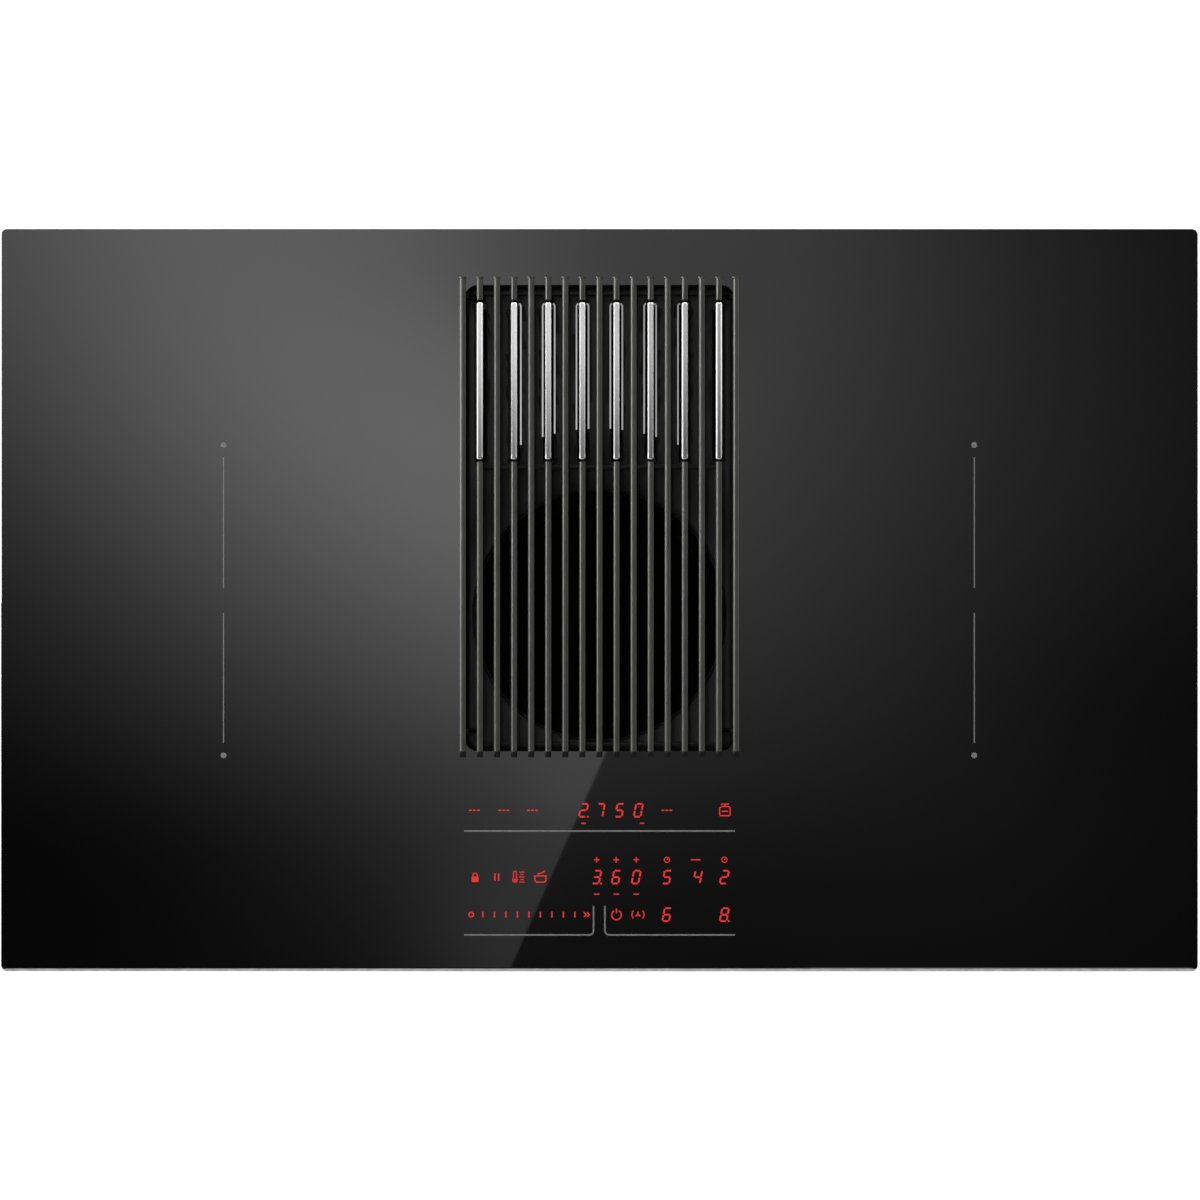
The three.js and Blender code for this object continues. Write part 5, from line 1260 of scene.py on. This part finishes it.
def make_housing_ribs():
    """Screw bosses and stiffening ribs on the blower housing's wall."""
    shape = Shape()
    top = HOUSING_HIGH.z - RIM_GAP
    low = top - BOSS_LENGTH
    for place in boss_places():
        profile = [(BOSS_TIP, low), (BOSS_RADIUS, low + BOSS_TAPER), (BOSS_RADIUS, top)]
        shape.loft([level(circle(radius, place, SCREW_SIDES), z) for radius, z in profile])
    for first, second in zip(BOSS_SHARES, BOSS_SHARES[1:]):
        for part in (0.33, 0.67):
            share = first + (second - first) * part
            near, far = (Vector(scroll_point(share, reach)) for reach in RIB_REACH)
            across = Vector((near.y - far.y, far.x - near.x)).normalized() * (RIB_WIDTH / 2)
            outline = [tuple(near + across), tuple(near - across), tuple(far - across), tuple(far + across)]
            shape.prism(outline, HOUSING_LOW.z + RIB_LIFT, top, RIB_EDGE)
    shape.make("housing_ribs", LOOKS["black_plastic"], "cooktop", slot="black_plastic")


# ---------------- pressings, lid, gland and grip
BEAD_ROWS = (-60 * MM, 20 * MM, 100 * MM)
BEAD_REACH = (165 * MM, 375 * MM)
BEAD_WIDTH = 13 * MM
BEAD_DEPTH = 1.6 * MM
BEAD_STEPS = ((0.0, -0.1), (0.02, 0.0), (0.25, 0.72), (0.36, 0.94), (0.46, 1.0))  # shares: inset, depth
BEAD_NARROWING = 1.6
TERMINAL_LID = 3.2 * MM
TERMINAL_RIM = 0.9 * MM
TERMINAL_EDGE = 0.7 * MM
TERMINAL_REAR_GAP = 0.4 * MM
GLAND_BORE = 4.8 * MM
# The gland's outside as (share of its length, share of the nut's corner radius, six-sided).
GLAND_STEPS = (
    (0.0, 0.93, True), (0.04, 1.0, True), (0.40, 1.0, True), (0.45, 0.92, True), (0.46, 0.78, False),
    (0.70, 0.76, False), (0.85, 0.70, False), (0.96, 0.62, False), (1.0, 0.56, False),
)
GRIP_ROOT = 0.3 * MM  # into the cup
GRIP_HALF = 34 * MM
GRIP_DEPTH = 7 * MM
GRIP_DROP = 20 * MM  # below the cup's rim
GRIP_LEDGE = 3.5 * MM
GRIP_LEDGE_EDGE = 1.4 * MM
GRIP_LIP = 2.4 * MM
GRIP_LIP_SPAN = (-4 * MM, 3 * MM)
GRIP_LIP_EDGE = 1.1 * MM
FLUTE_HALF = 68 * MM
FLUTE_HEIGHT = 2.2 * MM
FLUTE_DEPTH = 0.9 * MM
FLUTE_EDGE = 0.4 * MM
FLUTE_ROWS = (14 * MM, 24 * MM)


def make_tray_beads():
    """Long stiffening beads pressed into the base tray's underside."""
    shape = Shape()
    for y in BEAD_ROWS:
        for side in (-1, 1):
            middle = (side * sum(BEAD_REACH) / 2, y)
            loops = []
            for inset, depth in BEAD_STEPS:
                narrowing = BEAD_NARROWING * inset * BEAD_WIDTH
                width, run = BEAD_WIDTH - narrowing, BEAD_REACH[1] - BEAD_REACH[0] - narrowing
                outline = rounded_rect(run, width, width / 2 - 0.01 * MM, middle)
                loops.append(level(outline, TRAY_LOW.z - depth * BEAD_DEPTH))
            shape.loft(loops)
    shape.make("tray_beads", LOOKS["galvanised_steel"], "cooktop", slot="galvanised_steel")


def make_terminal_lid():
    low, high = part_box("terminal_box")
    start = (low.x - TERMINAL_RIM, low.y - TERMINAL_RIM, low.z - TERMINAL_LID_DROP)
    end = (high.x + TERMINAL_RIM, high.y - TERMINAL_REAR_GAP, low.z + TERMINAL_LID)
    shape = Shape().block(start, end, TERMINAL_EDGE)
    shape.make("terminal_lid", LOOKS["grey_plastic"], "cooktop", slot="grey_plastic")


def make_gland():
    """A cable gland: a six-sided nut, then a domed cap round the bore."""
    low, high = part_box("cable_gland")
    x, z = (low.x + high.x) / 2, (low.z + high.z) / 2
    nut = min(high.x - low.x, high.z - low.z) / 2 / math.cos(math.radians(30))
    steps = [(share, radius * nut, six_sided) for share, radius, six_sided in GLAND_STEPS]
    steps += [(1.0, 1.1 * GLAND_BORE, False), (0.95, GLAND_BORE, False), (0.0, GLAND_BORE, False)]
    loops = []
    for share, radius, six_sided in steps:
        y = low.y + share * (high.y - low.y)
        loop = []
        for i in range(2 * SCREW_SIDES):
            angle = math.pi * i / SCREW_SIDES
            reach = radius * (hexagon(angle) if six_sided else 1.0)
            loop.append((x + reach * math.sin(angle), y, z + reach * math.cos(angle)))
        loops.append(loop)
    shape = Shape().loft(loops, closed=True)
    shape.make("gland_nut", LOOKS["black_plastic"], "cooktop", "cable_gland", "black_plastic", angle=28)


def make_cup_grip():
    """A finger ledge and two flutes on the drip cup's front."""
    low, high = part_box("drip_cup")
    shape = Shape()
    front = low.y + GRIP_ROOT
    tip, foot = front - GRIP_DEPTH, high.z - GRIP_DROP
    shape.block((-GRIP_HALF, tip, foot), (GRIP_HALF, front, foot + GRIP_LEDGE), GRIP_LEDGE_EDGE)
    lower, upper = (foot + rise for rise in GRIP_LIP_SPAN)
    shape.block((-GRIP_HALF, tip, lower), (GRIP_HALF, tip + GRIP_LIP, upper), GRIP_LIP_EDGE)
    for rise in FLUTE_ROWS:
        start = (-FLUTE_HALF, front - FLUTE_DEPTH, low.z + rise)
        shape.block(start, (FLUTE_HALF, front, low.z + rise + FLUTE_HEIGHT), FLUTE_EDGE)
    shape.make("cup_grip", LOOKS["grey_plastic"], "cup", slot="grey_plastic")


# ---------------- CAD nodes that keep their shape
SLOT_OF = {part["node"]: part["material_slot"] for part in frame["record"]["subparts"]}
# The filter's parts and the scale platform are painted near-black as shade in the deep orifice
NODE_LOOKS = {"filter_frame": SHADE_BLACK, "filter_mesh": wire_mesh_painted_shade(), "scale_platform": SHADE_BLACK}
BEVELS = {
    "base_tray": 0.35, "cup_cradle": 0.4, "hanger_left": 0.3, "hanger_right": 0.3, "blower_lid": 0.4,
    "terminal_box": 0.8, "cable_gland": 0.6, "outlet_collar": 0.5, "suction_duct": 0.5, "drip_cup": 0.5,
    "rim_seal": 0.3, "cooling_fan_left": 0.5, "cooling_fan_right": 0.5, "load_cell": 0.5,
    "scale_platform": 0.4, "panel_bracket": 0.3,
}
CLAMP_BEVEL = 0.3
BEVEL_ANGLE = 50  # sharper edges than this are rounded


def smooth_group():
    """A modifier's node group that shades curved walls smooth and keeps real edges sharp."""
    group = bpy.data.node_groups.new("smooth_curves", "GeometryNodeTree")
    for way in ("INPUT", "OUTPUT"):
        group.interface.new_socket("Geometry", in_out=way, socket_type="NodeSocketGeometry")
    source, target, angle, gentle, faces, edges = (group.nodes.new(kind) for kind in (
        "NodeGroupInput", "NodeGroupOutput", "GeometryNodeInputMeshEdgeAngle", "ShaderNodeMath",
        "GeometryNodeSetShadeSmooth", "GeometryNodeSetShadeSmooth",
    ))
    gentle.operation = "LESS_THAN"
    gentle.inputs[1].default_value = math.radians(SMOOTH_ANGLE)
    edges.domain = "EDGE"
    group.links.new(source.outputs[0], faces.inputs["Geometry"])
    group.links.new(faces.outputs[0], edges.inputs["Geometry"])
    group.links.new(angle.outputs["Unsigned Angle"], gentle.inputs[0])
    group.links.new(gentle.outputs[0], edges.inputs["Shade Smooth"])
    group.links.new(edges.outputs[0], target.inputs[0])
    return group


def dress_cad():
    """Gives each CAD node that still shows its material, rounded edges and smooth curves."""
    group = smooth_group()
    for name, obj in frame["nodes"].items():
        if obj.hide_render:
            continue
        obj.data.materials.clear()
        obj.data.materials.append(NODE_LOOKS.get(name) or LOOKS[SLOT_OF[name]])
        obj.modifiers.new("weld", "WELD").merge_threshold = WELD_DISTANCE
        width = CLAMP_BEVEL if name.startswith("worktop_clamp") else BEVELS.get(name, 0.0)
        if width:
            bevel = obj.modifiers.new("edges", "BEVEL")
            bevel.width = width * MM
            bevel.segments = 2
            bevel.limit_method = "ANGLE"
            bevel.angle_limit = math.radians(BEVEL_ANGLE)
        obj.modifiers.new("smooth_curves", "NODES").node_group = group


make_glass()
make_well()
make_slot_lips()
make_slot_trims()
make_grille()
make_blades()
make_zone_marks()
make_panel_lines()
make_display()
make_housing()
make_housing_ribs()
make_tray_beads()
make_screws()
make_terminal_lid()
make_gland()
make_cup_grip()
dress_cad()


# ---------------- camera
SENSOR_WIDTH = 36.0


def make_camera():
    data = bpy.data.cameras.new("camera")
    data.sensor_width = SENSOR_WIDTH
    data.lens = SENSOR_WIDTH * CAMERA_HEIGHT / pixels(PHOTO_SIZE)
    camera = add_object("camera", data)
    camera.location = (*at_pixel(PHOTO_SIZE / 2, PHOTO_SIZE / 2), GLASS_TOP + CAMERA_HEIGHT)
    bpy.context.scene.camera = camera


# ---------------- studio
CARD_HEIGHT = 4.0  # above the glass, past the camera
CARD_SCALE = 1 + CARD_HEIGHT / CAMERA_HEIGHT  # a mark on the glass shows this much of the card
CARD_HALF = (0.75, 0.6)  # as reflected
CARD_MM = CARD_SCALE * MM  # what 1 mm on the glass shows of the card
GLASS_REFLECTION = 0.08
DARKEST = 0.0005

# Pools of light and shade on the card: the middle, width and depth of their reflections in mm,
# their turn in radians, and the light that the glass shows there.
LEFT_POOLS = (
    (-198, 377, 427, 235, -0.833, 0.353), (-131, 290, 152, 307, 1.171, -0.231),
    (-60, -235, 62, 62, 0.0, 0.012), (-228, -152, 190, 75, 0.0, -0.0032), (-20, -135, 35, 30, 0.0, 0.008),
)
RIGHT_POOLS = (
    (-914, 632, 651, 301, -0.443, 0.925), (40, -190, 150, 90, 0.0, -0.0032),
    (354, -55, 130, 90, 0.0, -0.0024), (97, -249, 170, 45, 0.0, 0.0004), (-83, 250, 139, 120, 0.0, -0.075),
)

# The flag's edge between them: it leans to the right, then straightens, and softens towards the rear.
EDGE_START = (597.0, 772.0)  # pixel in the photograph
EDGE_LEAN = 0.4434
EDGE_BEND = 104 * CARD_MM
EDGE_FAR_LEAN = 0.12
EDGE_SOFTNESS = (1.6 * CARD_MM, 330 * CARD_MM)
EDGE_SOFT_SPAN = (-20 * CARD_MM, 270 * CARD_MM)

FLOOR_HALF = 8.0
FLOOR_GAP = 0.2 * MM
FLOOR_GLOW = 0.90

# The studio's horizon: (start, end, light at the start, light at the end) along one axis of the sky.
SIDE_SPAN = (-0.9, 0.6, 0.0, 1.0)
LEFT_DEPTH = (-0.25, 0.10, 2.7, 3.0)
LEFT_RISE = (0.09, 0.36, 1.0, 0.03)
RIGHT_DEPTH = (-0.25, 0.10, 0.5, 3.0)
RIGHT_RISE = (0.04, 0.20, 1.0, 0.04)


def pool(kit, x, y, width, depth, turn, light):
    """A soft oval of light on the card."""
    mapping = kit.fill(
        kit.node("ShaderNodeMapping", vector_type="TEXTURE"), Vector=kit.place, Rotation=(0, 0, turn),
        Location=(x * CARD_MM, y * CARD_MM, 0), Scale=(width * CARD_MM, depth * CARD_MM, 1),
    )
    length = kit.node("ShaderNodeVectorMath", operation="LENGTH")
    kit.feed(length.inputs[0], mapping.outputs["Vector"])
    square = kit.math("POWER", length.outputs["Value"], 2.0)
    return kit.math("MULTIPLY", kit.math("POWER", math.e, kit.math("MULTIPLY", square, -1.0)), light)


def pools(kit, places):
    total = 0.0
    for place in places:
        total = kit.math("ADD", total, pool(kit, *place))
    return total


def left_of_edge(kit):
    """1 to the left of the flag's edge and 0 to its right."""
    x, y = kit.parts()[:2]
    start_x, start_y = (CARD_SCALE * value for value in at_pixel(*EDGE_START))
    depth = kit.math("SUBTRACT", y, start_y)
    near = kit.math("MULTIPLY", kit.math("MINIMUM", depth, EDGE_BEND), -EDGE_LEAN)
    far = kit.math("MAXIMUM", kit.math("SUBTRACT", depth, EDGE_BEND), 0.0)
    lean = kit.math("ADD", near, kit.math("MULTIPLY", far, EDGE_FAR_LEAN))
    past = kit.math("ADD", kit.math("SUBTRACT", x, start_x), lean)
    softness = kit.spread(y, *EDGE_SOFTNESS, *EDGE_SOFT_SPAN, "SMOOTHSTEP")
    return kit.math("SUBTRACT", 0.5, kit.math("DIVIDE", past, softness), clamp=True)


def add_sheet(name, half_x, half_y, z, material, faces_up):
    """A flat rectangle of the studio."""
    mesh = bpy.data.meshes.new(name)
    corners = [(-half_x, -half_y, 0), (half_x, -half_y, 0), (half_x, half_y, 0), (-half_x, half_y, 0)]
    mesh.from_pydata(corners, [], [(0, 1, 2, 3) if faces_up else (3, 2, 1, 0)])
    mesh.materials.append(material)
    sheet = add_object(name, mesh)
    sheet.location = (0, 0, z)
    return sheet


def make_card():
    """A wide overhead light panel: pools of light up to a flag's edge, and weaker ones right of it."""
    kit = new_kit("overhead_panel")
    kit.tree.nodes.remove(kit.shader)
    mask = left_of_edge(kit)
    left = kit.math("MULTIPLY", pools(kit, LEFT_POOLS), mask)
    right = kit.math("MULTIPLY", pools(kit, RIGHT_POOLS), kit.math("SUBTRACT", 1.0, mask))
    total = kit.math("MAXIMUM", kit.math("ADD", left, right), DARKEST)
    light = kit.node("ShaderNodeEmission")
    kit.fill(light, Strength=kit.math("MULTIPLY", total, 1.0 / GLASS_REFLECTION))
    kit.surface(light.outputs["Emission"])
    half_x, half_y = (CARD_SCALE * half for half in CARD_HALF)
    card = add_sheet("overhead_panel", half_x, half_y, GLASS_TOP + CARD_HEIGHT, kit.owner, False)
    card.visible_camera = False
    card.visible_diffuse = False
    card.visible_shadow = False


def make_floor():
    """A pale floor that glows to the camera and in reflections, and is clear from below."""
    kit = new_kit("pale_floor")
    kit.feed("Roughness", 0.7)
    stops = [(0.3, (0.80, 0.80, 0.80)), (0.7, (0.84, 0.84, 0.84))]
    kit.feed("Base Color", kit.ramp(kit.noise(4.0), stops))
    path = kit.node("ShaderNodeLightPath").outputs
    seen = kit.math("MAXIMUM", path["Is Camera Ray"], path["Is Glossy Ray"])
    glow = kit.fill(kit.node("ShaderNodeEmission"), Strength=kit.math("MULTIPLY", seen, FLOOR_GLOW))
    both = kit.node("ShaderNodeAddShader")
    kit.feed(both.inputs[0], kit.shader.outputs["BSDF"])
    kit.feed(both.inputs[1], glow.outputs["Emission"])
    behind = kit.node("ShaderNodeNewGeometry").outputs["Backfacing"]
    mix = kit.fill(kit.node("ShaderNodeMixShader"), Fac=behind)
    kit.feed(mix.inputs[1], both.outputs["Shader"])
    kit.feed(mix.inputs[2], kit.node("ShaderNodeBsdfTransparent").outputs["BSDF"])
    kit.surface(mix.outputs["Shader"])
    add_sheet("floor", FLOOR_HALF, FLOOR_HALF, cad_bounds[0][2] - FLOOR_GAP, kit.owner, True)


def make_world():
    """A pale studio: bright low on the left, dim on the right and overhead; white to the camera."""
    world = bpy.data.worlds.new("studio")
    bpy.context.scene.world = world
    kit = Nodes(world, "Generated")
    x, y, z = kit.parts()

    def smooth(value, start, end, low, high):
        return kit.spread(value, low, high, start, end, "SMOOTHSTEP")

    share = smooth(x, *SIDE_SPAN)
    left = kit.math("MULTIPLY", smooth(y, *LEFT_DEPTH), smooth(z, *LEFT_RISE))
    right = kit.math("MULTIPLY", smooth(y, *RIGHT_DEPTH), smooth(z, *RIGHT_RISE))
    left = kit.math("MULTIPLY", left, kit.math("SUBTRACT", 1.0, share))
    ambient = kit.math("ADD", left, kit.math("MULTIPLY", right, share))
    seen = kit.node("ShaderNodeLightPath").outputs["Is Camera Ray"]
    unseen = kit.math("MULTIPLY", ambient, kit.math("SUBTRACT", 1.0, seen))
    kit.feed("Color", (1, 1, 1, 1))
    kit.feed("Strength", kit.math("ADD", seen, unseen))


def make_lamp(name, place, size, power, mirrored=True):
    data = bpy.data.lights.new(name, "AREA")
    data.shape = "RECTANGLE"
    data.size, data.size_y = size
    data.energy = power
    lamp = add_object(name, data)
    lamp.location = place
    aim = Vector((0, 0, GLASS_TOP)) - Vector(place)
    lamp.rotation_euler = aim.to_track_quat("-Z", "Y").to_euler()
    lamp.visible_glossy = mirrored


make_camera()
make_card()
make_floor()
make_world()
make_lamp("key", (-2.7, 0.6, 1.2), (1.2, 0.9), 84)
make_lamp("right", (2.6, 1.2, 1.2), (1.2, 0.9), 50, mirrored=False)
make_lamp("overhead", (-0.24, 0.1, 3.9), (0.4, 0.4), 16, mirrored=False)
make_lamp("fill", (1.2, -2.6, 2.2), (2.0, 1.4), 9)
bpy.context.scene.view_settings.view_transform = "Standard"
